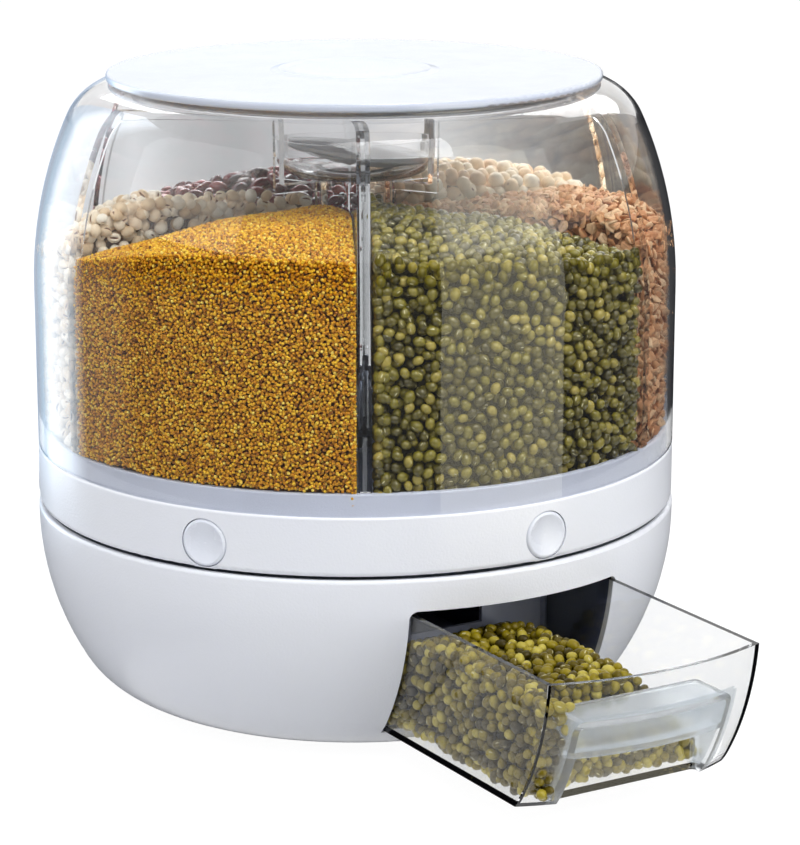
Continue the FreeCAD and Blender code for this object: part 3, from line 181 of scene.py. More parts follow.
def clear_plastic(name, tint, smudge=0.05, bending=1.49):
    """Clear plastic with faint smudges and flow waves, which lets the lamps through."""
    material, tree, shader = new_material(name)
    shader.inputs["Base Color"].default_value = tint
    shader.inputs["Transmission Weight"].default_value = 1.0
    shader.inputs["IOR"].default_value = bending
    smudges = ramp(tree, noise(tree, 26.0, 6.0), [(0.5, (0, 0, 0, 1)), (0.75, (1, 1, 1, 1))])
    tree.links.new(between(tree, smudges, 0.01, smudge), shader.inputs["Roughness"])
    bump(tree, shader, noise(tree, 14.0, 1.0), 0.12, 0.0006)
    rays = tree.nodes.new("ShaderNodeLightPath")
    through = add(tree, "BsdfTransparent", Color=tint)
    blend = tree.nodes.new("ShaderNodeMixShader")
    tree.links.new(rays.outputs["Is Shadow Ray"], blend.inputs["Fac"])
    tree.links.new(shader.outputs["BSDF"], blend.inputs[1])
    tree.links.new(through.outputs["BSDF"], blend.inputs[2])
    tree.links.new(blend.outputs["Shader"], tree.nodes["Material Output"].inputs["Surface"])
    return material


def within(tree, centre, half):
    """1 where the object's own coordinates lie inside a box, else 0."""
    place = tree.nodes.new("ShaderNodeTexCoord").outputs["Object"]
    parts = add(tree, "SeparateXYZ", Vector=place)
    inside = 1.0
    for axis, middle, reach in zip("XYZ", centre, half):
        near = reckon(tree, "COMPARE", parts.outputs[axis], middle, reach)
        inside = reckon(tree, "MULTIPLY", inside, near)
    return inside


def drawer_plastic(name, tint):
    """Clear plastic, frosted round the finger pocket and on the back wall."""
    material = clear_plastic(name, tint)
    tree = material.node_tree
    shader = tree.nodes["Principled BSDF"]
    pocket = within(tree, (0.0, POCKET_MIDDLE, POCKET_TOP - 8 * MM), (POCKET_HALF, 24 * MM, 10.5 * MM))
    for side in (MM - POCKET_HALF, POCKET_HALF - MM):
        wall = within(tree, (side, POCKET_MIDDLE, 0.5 * POCKET_TOP), (3 * MM, 22 * MM, 30 * MM))
        pocket = reckon(tree, "MAXIMUM", pocket, wall)
    back = within(tree, (0.0, DRAWER_BACK, 50 * MM), (60 * MM, 4 * MM, 60 * MM))
    clouds = noise(tree, 60.0)
    milk = ramp(tree, clouds, [(0.3, srgb(222, 227, 231)), (0.7, srgb(234, 238, 241))])
    grey = ramp(tree, clouds, [(0.3, srgb(196, 204, 228)), (0.7, srgb(208, 214, 236))])
    skin = mix_colour(tree, back, mix_colour(tree, pocket, tint, milk), grey)
    tree.links.new(skin, shader.inputs["Base Color"])
    clear = shader.inputs["Roughness"].links[0].from_socket
    frosted = reckon(tree, "MAXIMUM", pocket, back)
    tree.links.new(between(tree, frosted, clear, 0.2), shader.inputs["Roughness"])
    milky = reckon(tree, "MULTIPLY_ADD", pocket, -0.16, 1.0)
    closed = reckon(tree, "MULTIPLY_ADD", back, -0.95, milky)
    tree.links.new(closed, shader.inputs["Transmission Weight"])
    return material


def brushed_steel(name):
    """Turned steel with fine rings of brushing."""
    material, tree, shader = new_material(name)
    tone = noise(tree, 300.0, 4.0)
    tree.links.new(ramp(tree, tone, [(0.3, srgb(150, 152, 156)), (0.7, srgb(205, 207, 210))]),
                   shader.inputs["Base Color"])
    tree.links.new(between(tree, tone, 0.22, 0.4), shader.inputs["Roughness"])
    bump(tree, shader, noise(tree, 1500.0, 2.0), 0.2, 0.0001)
    shader.inputs["Metallic"].default_value = 1.0
    return material


def soft_rubber(name, dark, pale):
    """Matt rubber with a dusty surface."""
    material, tree, shader = new_material(name)
    dust = noise(tree, 120.0, 6.0)
    tree.links.new(ramp(tree, dust, [(0.4, dark), (0.8, pale)]), shader.inputs["Base Color"])
    tree.links.new(between(tree, dust, 0.6, 0.85), shader.inputs["Roughness"])
    bump(tree, shader, noise(tree, 700.0, 3.0), 0.4, 0.0003)
    return material


white_shell = moulded(
    "white_shell", srgb(243, 245, 250), srgb(239, 241, 248), 0.32, coat=0.25, soft=0.05)
white_button = moulded(
    "white_button", srgb(238, 241, 249), srgb(232, 236, 246), 0.26, coat=0.35, soft=0.05)
lid_plastic = moulded(
    "lid_plastic", srgb(208, 214, 226), srgb(200, 207, 222), 0.2, coat=0.5, soft=0.2)
pale_tray = moulded("pale_tray", srgb(206, 211, 226), srgb(196, 202, 219), 0.35, coat=0.2)
inner_plastic = moulded("inner_plastic", srgb(176, 182, 196), srgb(166, 172, 188), 0.45)
# The bay walls are white plastic. Their dark navy colour is painted shade for the bay under the deck.
bay_painted_shade = moulded("bay_painted_shade", srgb(96, 104, 136), srgb(86, 94, 126), 0.5)
slide_plastic = moulded("slide_plastic", srgb(225, 224, 216), srgb(214, 212, 203), 0.4)
capsule_plastic = moulded(
    "capsule_plastic", srgb(216, 218, 221), srgb(204, 207, 211), 0.28, coat=0.4)
clear_shell = clear_plastic("clear_shell", (0.985, 0.99, 0.995, 1.0))
clear_panel = clear_plastic("clear_panel", (0.985, 0.99, 0.99, 1.0), bending=1.22)
clear_drawer = drawer_plastic("clear_drawer", (0.975, 0.98, 0.985, 1.0))
steel = brushed_steel("steel")
seal_rubber = soft_rubber("seal_rubber", srgb(66, 50, 42), srgb(98, 78, 66))
foot_rubber = soft_rubber("foot_rubber", srgb(36, 37, 40), srgb(60, 61, 64))

FINISHES = {
    white_shell: ["base_bowl", "turntable_ring"],
    white_button: ["button_"],
    lid_plastic: ["lid_disc"],
    pale_tray: ["compartment_tray"],
    inner_plastic: ["base_deck", "discharge_chute", "drawer_runner_"],
    bay_painted_shade: ["bay_wall_"],
    slide_plastic: ["gate_%d" % (station + 1) for station in range(STATIONS)] + ["ball_cage", "pivot_bush"],
    capsule_plastic: ["capsule_body", "capsule_cap"],
    clear_shell: ["clear_dome", "lid_skirt", "capsule_cup"],
    clear_panel: ["divider_", "hub_column"],
    clear_drawer: ["drawer"],
    steel: ["deck_screws", "lower_race", "upper_race", "bearing_balls", "pivot_bolt", "thrust_washer",
            "lock_nut", "gate_spring_"],
    seal_rubber: ["lid_seal"],
    foot_rubber: ["rubber_feet"],
}


def dress_nodes():
    """Gives every node its material. A name that ends in _ stands for all that start with it."""
    for material, names in FINISHES.items():
        starts = tuple(word for word in names if word.endswith("_"))
        for name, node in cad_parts.items():
            if name not in names and not name.startswith(starts):
                continue
            for place in node.material_slots:
                place.material = material


dress_nodes()


# Grain materials

def grain_shader(name, tones, roughness, coat=0.0, mottle=0.25, soft=0.0):
    """A skin whose tone differs from grain to grain, with a fine mottle on each grain."""
    material, tree, shader = new_material(name)
    tone = add(tree, "Attribute")
    tone.attribute_name = "tone"
    own = add(tree, "Attribute")
    own.attribute_name = "own"
    skin = ramp(tree, tone.outputs["Fac"], tones)
    spots = noise(tree, 2.2, 3.0, own.outputs["Vector"])
    deepest = tuple(0.45 * level for level in tones[0][1][:3]) + (1.0,)
    darker = mix_colour(tree, between(tree, spots, 0.0, mottle), skin, deepest)
    shader.inputs["Coat Weight"].default_value = coat
    shader.inputs["Coat Roughness"].default_value = 0.15
    shader.inputs["Subsurface Weight"].default_value = soft
    shader.inputs["Subsurface Radius"].default_value = (0.0012, 0.001, 0.0006)
    tree.links.new(between(tree, spots, roughness - 0.06, roughness + 0.1), shader.inputs["Roughness"])
    return material, tree, shader, darker, own.outputs["Vector"]


def spot(tree, own, centre, radii):
    """1 inside an oval on the unit grain, fading to 0 at its rim."""
    moved = add(tree, "VectorMath")
    moved.operation = "SUBTRACT"
    tree.links.new(own, moved.inputs[0])
    moved.inputs[1].default_value = centre
    scaled = add(tree, "VectorMath")
    scaled.operation = "DIVIDE"
    tree.links.new(moved.outputs["Vector"], scaled.inputs[0])
    scaled.inputs[1].default_value = radii
    length = add(tree, "VectorMath")
    length.operation = "LENGTH"
    tree.links.new(scaled.outputs["Vector"], length.inputs[0])
    edge = add(tree, "MapRange", Value=length.outputs["Value"], From_Min=0.7, From_Max=1.0,
               To_Min=1.0, To_Max=0.0)
    return edge.outputs["Result"]


def mung_material(name, tones, coat=0.5):
    """Green beans with a pale seam on one side."""
    material, tree, shader, skin, own = grain_shader(name, tones, 0.3, coat=coat, mottle=0.35)
    seam = spot(tree, own, (0.0, 1.0, 0.0), (0.36, 0.5, 0.13))
    tree.links.new(mix_colour(tree, seam, skin, srgb(206, 200, 158)), shader.inputs["Base Color"])
    return material


def millet_material(name):
    """Golden millet, a few grains brown."""
    tones = [(0.0, srgb(130, 74, 4)), (0.16, srgb(202, 134, 10)), (0.55, srgb(232, 168, 16)),
             (0.9, srgb(250, 204, 46)), (1.0, srgb(254, 230, 110))]
    material, tree, shader, skin, own = grain_shader(name, tones, 0.5, mottle=0.2)
    tree.links.new(skin, shader.inputs["Base Color"])
    return material


def coix_material(name):
    """Cream pearls with a brown groove down one side."""
    tones = [(0.0, srgb(224, 194, 154)), (0.5, srgb(248, 228, 198)), (1.0, srgb(254, 246, 230))]
    material, tree, shader, skin, own = grain_shader(name, tones, 0.55, mottle=0.1)
    groove = spot(tree, own, (0.0, 1.0, 0.0), (0.85, 0.55, 0.22))
    tree.links.new(mix_colour(tree, groove, skin, srgb(128, 84, 52)), shader.inputs["Base Color"])
    return material


def kidney_material(name):
    """Dark red-brown glossy beans with a pale eye in the bend."""
    tones = [(0.0, srgb(60, 6, 14)), (0.5, srgb(118, 20, 32)), (1.0, srgb(160, 46, 54))]
    material, tree, shader, skin, own = grain_shader(name, tones, 0.24, coat=0.3, mottle=0.3)
    eye = spot(tree, own, (0.0, 1.0, 0.0), (0.16, 0.5, 0.1))
    tree.links.new(mix_colour(tree, eye, skin, srgb(214, 190, 170)), shader.inputs["Base Color"])
    return material


def soy_material(name):
    """Round tan peas with a brown eye."""
    tones = [(0.0, srgb(238, 198, 154)), (0.5, srgb(252, 226, 188)), (1.0, srgb(255, 242, 220))]
    material, tree, shader, skin, own = grain_shader(name, tones, 0.45, coat=0.1, mottle=0.15)
    eye = spot(tree, own, (0.0, 1.0, 0.0), (0.24, 0.5, 0.11))
    tree.links.new(mix_colour(tree, eye, skin, srgb(150, 96, 60)), shader.inputs["Base Color"])
    return material


def flake_material(name):
    """Pinkish tan flakes with a darker vein."""
    tones = [(0.0, srgb(196, 134, 88)), (0.5, srgb(230, 176, 126)), (1.0, srgb(246, 212, 170))]
    material, tree, shader, skin, own = grain_shader(name, tones, 0.62, mottle=0.2)
    vein = spot(tree, own, (0.0, 0.0, 0.0), (0.8, 0.14, 2.0))
    tree.links.new(mix_colour(tree, between(tree, vein, 0.0, 0.5), skin, srgb(150, 96, 66)),
                   shader.inputs["Base Color"])
    return material


def painted_shade_material(name, colour, other):
    """Painted shade for the depth between the grains: one dark colour in two tones."""
    material, tree, shader = new_material(name)
    tone = ramp(tree, noise(tree, 300.0, 4.0), [(0.35, colour), (0.65, other)])
    tree.links.new(tone, shader.inputs["Base Color"])
    shader.inputs["Roughness"].default_value = 0.9
    bump(tree, shader, noise(tree, 500.0, 2.0), 0.8, 0.002)
    return material


# Grain shapes, as points and triangles of one unit grain

def ball_form(subdivisions):
    """A round grain of radius 1."""
    form = bmesh.new()
    bmesh.ops.create_icosphere(form, subdivisions=subdivisions, radius=1.0)
    points = np.array([vertex.co[:] for vertex in form.verts])
    form.faces.ensure_lookup_table()
    corners = np.array([[vertex.index for vertex in face.verts] for face in form.faces])
    form.free()
    return points, corners


def bent(points, bend=0.35):
    """The grain bent about its short axis, as a kidney bean is."""
    moved = points.copy()
    moved[:, 1] += bend * (moved[:, 0] ** 2 - 0.4)
    return moved


def grooved(points, depth=0.45, width=0.3):
    """The grain with a groove along its +Y side."""
    moved = points.copy()
    closeness = np.exp(-(points[:, 2] / width) ** 2) * np.clip(points[:, 1], 0, 1)
    moved[:, 1] -= depth * closeness
    return moved


def flaked(points, thickness=0.3, curl=0.16):
    """The grain rolled flat, with a wavy rim."""
    moved = points.copy()
    rim = np.arctan2(points[:, 1], points[:, 0])
    spread = 1 + 0.1 * np.sin(3 * rim + 1) + 0.07 * np.sin(5 * rim)
    moved[:, 0] *= spread
    moved[:, 1] *= spread
    moved[:, 2] = thickness * points[:, 2] + curl * (points[:, 0] ** 2 - points[:, 1] ** 2)
    return moved


class Grain:
    """One kind of grain: its form from the unit ball, half sizes in millimetres, colours, how unequal
    its grains are and how far they tilt. Fine grain is laid out on a lattice. Rolled grain is turned
    about its long axis at random."""

    def __init__(self, ball, half_sizes, material, shape=None, spread=0.08, tilt=0.35, fine=False,
                 rolled=True):
        self.own, self.corners = ball
        self.points = shape(self.own) if shape else self.own
        self.half_sizes = np.array(half_sizes) * MM
        self.material = material
        self.spread = spread
        self.tilt = tilt
        self.fine = fine
        self.rolled = rolled
        self.spacing = 2 * math.sqrt(self.half_sizes[0] * self.half_sizes[1])


GREEN_TONES = [(0.0, srgb(66, 60, 12)), (0.35, srgb(106, 97, 20)), (0.75, srgb(136, 126, 32)),
               (1.0, srgb(182, 164, 74))]
# The drawer holds the same mung beans as the dome. This second copy of their tones is more saturated, with
# a darker lowest stop, and is painted to match how the drawer's beans are lit: the darker stop is painted
# shade from the base above them.
DRAWER_PAINTED_MUNG_TONES = [(0.0, srgb(60, 50, 2)), (0.35, srgb(120, 104, 8)), (0.75, srgb(164, 146, 22)),
                (1.0, srgb(214, 198, 88))]

MUNG_HALF = (2.95, 2.35, 2.25)
MUNG = Grain(ball_form(2), MUNG_HALF, mung_material("mung_skin", GREEN_TONES))
DRAWER_MUNG = Grain(ball_form(2), MUNG_HALF, mung_material("drawer_mung_skin", DRAWER_PAINTED_MUNG_TONES, 0.2))
MILLET = Grain(ball_form(1), (0.86, 0.82, 0.78), millet_material("millet_skin"), tilt=1.0, fine=True)
COIX = Grain(ball_form(3), (3.2, 2.9, 2.5), coix_material("coix_skin"), grooved)
KIDNEY = Grain(ball_form(3), (5.6, 3.4, 3.0), kidney_material("kidney_skin"), bent)
SOY = Grain(ball_form(2), (4.1, 3.9, 3.7), soy_material("soy_skin"))
FLAKE = Grain(ball_form(2), (2.7, 2.1, 2.1), flake_material("flake_skin"), flaked,
              spread=0.2, tilt=0.6, rolled=False)


# Mesh building

def mesh_piece(name, points, corners, material, body, values=None):
    """An object from arrays, with smooth faces and any values for each point, riding on a body."""
    mesh = bpy.data.meshes.new(name)
    mesh.vertices.add(len(points))
    mesh.vertices.foreach_set("co", np.asarray(points, np.float32).ravel())
    count = len(corners)
    sides = corners.shape[1]
    mesh.loops.add(count * sides)
    mesh.loops.foreach_set("vertex_index", np.asarray(corners, np.int32).ravel())
    mesh.polygons.add(count)
    mesh.polygons.foreach_set("loop_start", np.arange(0, count * sides, sides, dtype=np.int32))
    mesh.polygons.foreach_set("use_smooth", np.ones(count, bool))
    for key, (kind, field, array) in (values or {}).items():
        attribute = mesh.attributes.new(key, kind, "POINT")
        attribute.data.foreach_set(field, np.asarray(array, np.float32).ravel())
    mesh.update(calc_edges=True)
    mesh.materials.append(material)
    piece = bpy.data.objects.new(name, mesh)
    bpy.context.scene.collection.objects.link(piece)
    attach(piece, body)


def unit(vectors):
    """Each row at length 1."""
    return vectors / np.linalg.norm(vectors, axis=1, keepdims=True)


def grain_frames(normals, tilt):
    """For each normal, a rotation whose Z is near the normal and whose X has a random direction."""
    count = len(normals)
    leaning = unit(normals + tilt * rng.normal(size=(count, 3)))
    along = rng.normal(size=(count, 3))
    first = unit(np.cross(leaning, along))
    second = np.cross(leaning, first)
    return np.stack([first, second, leaning], axis=2)


MOST_FACES = 190000


def grain_pieces(name, grain, centres, normals, body):
    """The grains at the centres, as one mesh or as several of at most MOST_FACES faces."""
    most = MOST_FACES // len(grain.corners)
    parts = math.ceil(len(centres) / most)
    for part in range(parts):
        some = slice(part * most, (part + 1) * most)
        ending = "_%d" % (part + 1) if parts > 1 else ""
        grain_piece(name + ending, grain, centres[some], normals[some], body)


def grain_piece(name, grain, centres, normals, body):
    """Grains at the centres, as one mesh."""
    count = len(centres)
    frames = grain_frames(normals, grain.tilt)
    rolled = rng.random(count) * 2 * math.pi
    roll = np.zeros((count, 3, 3))
    roll[:, 0, 0] = 1
    roll[:, 1, 1] = np.cos(rolled)
    roll[:, 1, 2] = -np.sin(rolled)
    roll[:, 2, 1] = np.sin(rolled)
    roll[:, 2, 2] = np.cos(rolled)
    if not grain.rolled:
        roll[:] = np.eye(3)
    sizes = grain.half_sizes * (1 + grain.spread * rng.normal(size=(count, 1)).clip(-2, 2))
    local = grain.points[None] * sizes[:, None]
    placed = np.einsum("nij,njk,nmk->nmi", frames, roll, local) + centres[:, None]
    corners = grain.corners[None] + (np.arange(count) * len(grain.points))[:, None, None]
    values = {
        "tone": ("FLOAT", "value", np.repeat(rng.random(count), len(grain.points))),
        "own": ("FLOAT_VECTOR", "vector", np.tile(grain.own, (count, 1))),
    }
    mesh_piece(name, placed.reshape(-1, 3), corners.reshape(-1, 3), grain.material, body, values)


def closed_body(levels):
    """A closed body between an upper and a lower grid of points, as points and faces."""
    deep, many = levels.shape[1:3]

    def index(level, row, column):
        return (level * deep + row) * many + column

    faces = []
    for row in range(deep - 1):
        for column in range(many - 1):
            top = [index(0, row, column), index(0, row + 1, column),
                   index(0, row + 1, column + 1), index(0, row, column + 1)]
            faces.append(top)
            faces.append([corner + deep * many for corner in reversed(top)])
        for column, flip in ((0, False), (many - 1, True)):
            wall = [index(0, row, column), index(1, row, column),
                    index(1, row + 1, column), index(0, row + 1, column)]
            faces.append(wall[::-1] if flip else wall)
    for column in range(many - 1):
        for row, flip in ((0, True), (deep - 1, False)):
            wall = [index(0, row, column), index(1, row, column),
                    index(1, row, column + 1), index(0, row, column + 1)]
            faces.append(wall[::-1] if flip else wall)
    return levels.reshape(-1, 3), np.array(faces)


# Scattering. TRIES go to each place that a grain takes. The rows of a lattice stand ROW spacings
# apart, and its places are shaken by SHAKE spacings. Scattered grains come a little closer than
# their spacing, and a layer lies LAYER half heights under the one before it.

TRIES = 14
ROW = 0.866
SHAKE = 0.3
CLOSENESS = 0.86
LAYER = 1.5


def scatter(width, height, spacing, allowed):
    """Random places of a rectangle where allowed says so, no two nearer than the spacing."""
    tries = int(TRIES * width * height / spacing ** 2)
    across = rng.random(tries) * width
    along = rng.random(tries) * height
    keep = allowed(across, along)
    taken = {}
    for x, y in zip(across[keep].tolist(), along[keep].tolist()):
        column = int(x / spacing)
        row = int(y / spacing)
        cells = [(column + i, row + j) for i in (-1, 0, 1) for j in (-1, 0, 1)]
        near = [place for cell in cells for place in taken.get(cell, ())]
        if all((x - u) ** 2 + (y - v) ** 2 >= spacing ** 2 for u, v in near):
            taken.setdefault((column, row), []).append((x, y))
    return np.array([place for places in taken.values() for place in places])


def lattice(width, height, spacing, allowed):
    """Places on a shaken triangular lattice, for grains too many to scatter one by one."""
    rows = int(height / (spacing * ROW))
    columns = int(width / spacing)
    column, row = np.meshgrid(np.arange(columns), np.arange(rows))
    across = (column + 0.5 * (row % 2)).ravel() * spacing
    along = row.ravel() * spacing * ROW
    across = across + SHAKE * spacing * rng.normal(size=across.shape).clip(-1.5, 1.5)
    along = along + SHAKE * spacing * rng.normal(size=along.shape).clip(-1.5, 1.5)
    keep = allowed(across, along)
    return np.stack([across[keep], along[keep]], axis=1)


def cover(grain, width, height, allowed, place):
    """Two layers of grains under a surface. place gives the points and outward normals."""
    centres = []
    normals = []
    spread, closeness = (lattice, 1.0) if grain.fine else (scatter, CLOSENESS)
    for layer in (0, 1):
        flat = spread(width, height, closeness * grain.spacing, allowed)
        if not len(flat):
            continue
        points, outward = place(flat[:, 0], flat[:, 1])
        depth = grain.half_sizes[2] * (1.05 + 0.45 * rng.random(len(flat)) + LAYER * layer)
        centres.append(points - outward * depth[:, None])
        normals.append(outward)
    return np.concatenate(centres), np.concatenate(normals)


# Compartments. Beside a divider, grain is drawn near the dome and above the height from which it
# is seen over the other heaps.

SEEN_ABOVE = 205 * MM
SEEN_BESIDE = 30 * MM
HEAP_REACH = 120 * MM


class Heap:
    """The grain in one compartment. Heights are above the table, along the dome from one divider to
    the next. The crest stands higher by the rise at its radius, and the fall says how much of the
    rise is lost towards the column."""

    def __init__(self, name, station, grain, edge, rise, crest, fall, shade):
        self.name = name
        self.middle = REST_TURN + station * WEDGE
        self.grain = grain
        self.edge = [height * MM for height in edge]
        self.rise = rise * MM
        self.crest = crest * MM
        self.fall = fall
        self.shade = shade

    def edge_height(self, share):
        """Height at the dome, through three heights along it."""
        first, middle, last = self.edge
        rest = 1 - share
        return first * rest * (rest - share) + 4 * middle * share * rest + last * share * (share - rest)

    def height(self, radius, angle):
        share = (angle - self.middle) / WEDGE + 0.5
        outer = 1 - ((radius - self.crest) / (SHELL - self.crest)) ** 2
        inner = 1 - self.fall * ((self.crest - radius) / self.crest) ** 2
        rise = self.rise * np.where(radius > self.crest, outer, inner)
        waves = 1.2 * MM * np.sin(radius / (13 * MM) + 2 * share) * np.sin(9 * share + self.middle)
        return self.edge_height(share) + rise + waves

    def half_angle(self, radius, margin):
        """Half the wedge's angle at a radius, less the divider and a margin."""
        return 0.5 * WEDGE - np.arcsin((DIVIDER_HALF + margin) / radius)

    def point(self, radius, angle, height):
        return np.stack([radius * np.sin(angle), -radius * np.cos(angle), height], axis=1)

    def side(self):
        """Grains behind the dome."""
        width = SHELL * WEDGE
        low = TRAY_TOP + self.grain.half_sizes[0]

        def angle_at(across):
            return self.middle + (across - width / 2) / SHELL

        def allowed(across, along):
            angle = angle_at(across)
            inside = np.abs(angle - self.middle) < self.half_angle(SHELL, self.grain.half_sizes[1])
            return inside & (low + along < self.height(SHELL, angle))

        def place(across, along):
            angle = angle_at(across)
            height = low + along
            radius = np.where(height < RIM_TOP + self.grain.half_sizes[1], SHELL - RIM_WIDTH, SHELL)
            outward = self.point(1.0, angle, 0 * angle)
            return self.point(radius, angle, height), outward

        return cover(self.grain, width, HEAP_REACH, allowed, place)

    def top(self):
        """Grains on top of the heap."""
        def polar(across, along):
            x = across - SHELL
            radius = np.hypot(x, along)
            return radius, self.middle + np.arctan2(x, along)

        def allowed(across, along):
            radius, angle = polar(across, along)
            margin = self.grain.half_sizes[1]
            ring = (radius > COLUMN + margin) & (radius < SHELL - margin)
            safe = np.maximum(radius, COLUMN)
            return ring & (np.abs(angle - self.middle) < self.half_angle(safe, margin))

        def place(across, along):
            radius, angle = polar(across, along)
            step = 1 * MM
            slope = (self.height(radius + step, angle) - self.height(radius, angle)) / step
            outward = unit(self.point(-slope, angle, np.ones_like(angle)))
            return self.point(radius, angle, self.height(radius, angle)), outward

        return cover(self.grain, 2 * SHELL, SHELL, allowed, place)

    def flank(self, way):
        """Grains against a divider, near the dome."""
        depth = SHELL - COLUMN - 6 * MM
        edge = self.middle + 0.5 * way * WEDGE

        def allowed(across, along):
            top = self.height(SHELL - across, edge) - self.grain.half_sizes[2]
            seen = (across < SEEN_BESIDE) | (TRAY_TOP + along > SEEN_ABOVE)
            return (along > self.grain.half_sizes[0]) & (TRAY_TOP + along < top) & seen

        def place(across, along):
            facing = self.point(1.0, np.array([edge + way * math.pi / 2]), np.zeros(1))
            outward = np.tile(facing, (len(across), 1))
            radius = SHELL - self.grain.half_sizes[1] - across
            at = self.point(radius, np.full(len(across), edge), TRAY_TOP + along)
            return at - outward * DIVIDER_HALF, outward

        return cover(self.grain, depth, HEAP_REACH, allowed, place)

    def core(self):
        """The closed body inside the layers, coloured in painted shade for the grain in the depth."""
        inset = 2.6 * self.grain.half_sizes[2] + 1.2 * MM
        upper = []
        lower = []
        for radius in np.linspace(COLUMN + inset, SHELL - inset, 14):
            angle = self.middle + np.linspace(-1, 1, 15) * self.half_angle(radius, inset)
            upper.append(self.point(radius, angle, self.height(radius, angle) - inset))
            lower.append(self.point(radius, angle, np.full(len(angle), TRAY_TOP)))
        return closed_body(np.array([upper, lower]))

    def build(self):
        """The core, the grains behind the dome and the grains on top and beside the dividers."""
        points, faces = self.core()
        mesh_piece(self.name + "_depth", points, faces, self.shade, "turntable")
        centres, normals = self.side()
        grain_pieces(self.name + "_side", self.grain, centres, normals, "turntable")
        parts = [self.top(), self.flank(-1), self.flank(1)]
        centres = np.concatenate([part[0] for part in parts])
        normals = np.concatenate([part[1] for part in parts])
        grain_pieces(self.name + "_top", self.grain, centres, normals, "turntable")


# Painted shade: dark colours for the grain deep inside each heap, where light doesn't reach.
green_painted_shade = painted_shade_material("green_painted_shade", srgb(34, 32, 12), srgb(56, 52, 20))
golden_painted_shade = painted_shade_material("golden_painted_shade", srgb(84, 46, 6), srgb(116, 68, 12))
cream_painted_shade = painted_shade_material("cream_painted_shade", srgb(110, 84, 62), srgb(140, 110, 84))
red_painted_shade = painted_shade_material("red_painted_shade", srgb(22, 6, 10), srgb(36, 12, 16))
tan_painted_shade = painted_shade_material("tan_painted_shade", srgb(110, 76, 48), srgb(136, 98, 66))
flake_painted_shade = painted_shade_material("flake_painted_shade", srgb(126, 84, 58), srgb(150, 104, 76))

HEAPS = [
    Heap("mung_beans", 0, MUNG, (240, 232.5, 226), 12, 67, 1.8, green_painted_shade),
    Heap("grain_flakes", 1, FLAKE, (231, 229, 224), 12, 125, 0.5, flake_painted_shade),
    Heap("soy_beans", 2, SOY, (227, 233, 212), 13, 72, 0.6, tan_painted_shade),
    Heap("kidney_beans", 3, KIDNEY, (214, 225, 211), 17.5, 67, 0.8, red_painted_shade),
    Heap("coix_seeds", 4, COIX, (220, 218, 234.5), 17, 108, 0.9, cream_painted_shade),
    Heap("millet", 5, MILLET, (224, 237.5, 235.5), 7.5, 83, 2.1, golden_painted_shade),
]

for heap in HEAPS:
    heap.build()


# Beans in the drawer. The front is round about an upright line through DRAWER_OUT, where the
# turntable's pivot comes to stand when the drawer shuts.

FRONT_RADIUS = 152 * MM
FRONT_TOP = 90 * MM
FRONT_HEIGHT = 89 * MM
FRONT_BULGE = 33 * MM
FRONT_WALL = 1.5 * MM
DRAWER_OUT = -110 * MM
PIVOT_BOXES = [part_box(name) for name in ("pivot_bolt", "thrust_washer", "pivot_bush", "lock_nut")]
PIVOT_LOW = min(low[2] for low, high in PIVOT_BOXES) - 2 * MM
PIVOT_REACH = max(high[0] for low, high in PIVOT_BOXES) + 2 * MM


def front_inner(x, z):
    """Inner face of the drawer's curved front, at rest."""
    fall = np.clip((FRONT_TOP - z) / FRONT_HEIGHT, 0, 1)
    radius = FRONT_RADIUS - FRONT_BULGE * fall ** 2.1 - FRONT_WALL
    return DRAWER_OUT - np.sqrt(np.maximum(radius ** 2 - x ** 2, 0))


def drawer_heap_height(x, y):
    """Top of the beans: level on the left, sloping down to the right and to the back, with a trough
    that the turntable's pivot passes through when the drawer shuts."""
    share = np.clip((-y - 200 * MM) / (29 * MM), 0, 1)
    slope = 0.97 + 0.18 * share
    side = 66 * MM - slope * np.maximum(x - 7 * MM, 0) + 3 * MM * np.clip(-x / (52 * MM), 0, 1) ** 2
    back = 45 * MM + 0.38 * (-y - 90 * MM)
    waves = 1.0 * MM * np.sin(x / (11 * MM)) * np.sin(y / (17 * MM))
    beside = np.maximum(np.abs(x), -(y - DRAWER_OUT)) - PIVOT_REACH
    trough = PIVOT_LOW + 0.9 * np.maximum(beside, 0)
    return np.minimum(np.minimum(side, back) + waves, trough)


BEANS_MARGIN = DRAWER_MUNG.half_sizes[1]
BEANS_REACH = 60 * MM


def between_walls(x, y):
    """Where a bean stays off the side walls and the back wall, on a heap that hides the floor."""
    sides = (x > DRAWER_LEFT + BEANS_MARGIN) & (x < DRAWER_RIGHT - BEANS_MARGIN)
    deep = drawer_heap_height(x, y) > DRAWER_FLOOR + 2 * BEANS_MARGIN
    return sides & (y < DRAWER_BACK - BEANS_MARGIN) & deep


def beans_top():
    """Beans on top of the heap."""
    depth = 175 * MM

    def allowed(across, along):
        x = DRAWER_LEFT + across
        y = DRAWER_BACK - along
        front = front_inner(x, drawer_heap_height(x, y))
        beside = (x < -POCKET_HALF - BEANS_MARGIN) & (y > front + BEANS_MARGIN)
        return between_walls(x, y) & ((y > POCKET_BACK + BEANS_MARGIN) | beside)

    def place(across, along):
        x = DRAWER_LEFT + across
        y = DRAWER_BACK - along
        height = drawer_heap_height(x, y)
        step = 1 * MM
        outward = unit(np.stack([
            -(drawer_heap_height(x + step, y) - height) / step,
            -(drawer_heap_height(x, y + step) - height) / step,
            np.ones_like(x)], axis=1))
        return np.stack([x, y, height], axis=1), outward

    return cover(DRAWER_MUNG, DRAWER_RIGHT - DRAWER_LEFT, depth, allowed, place)


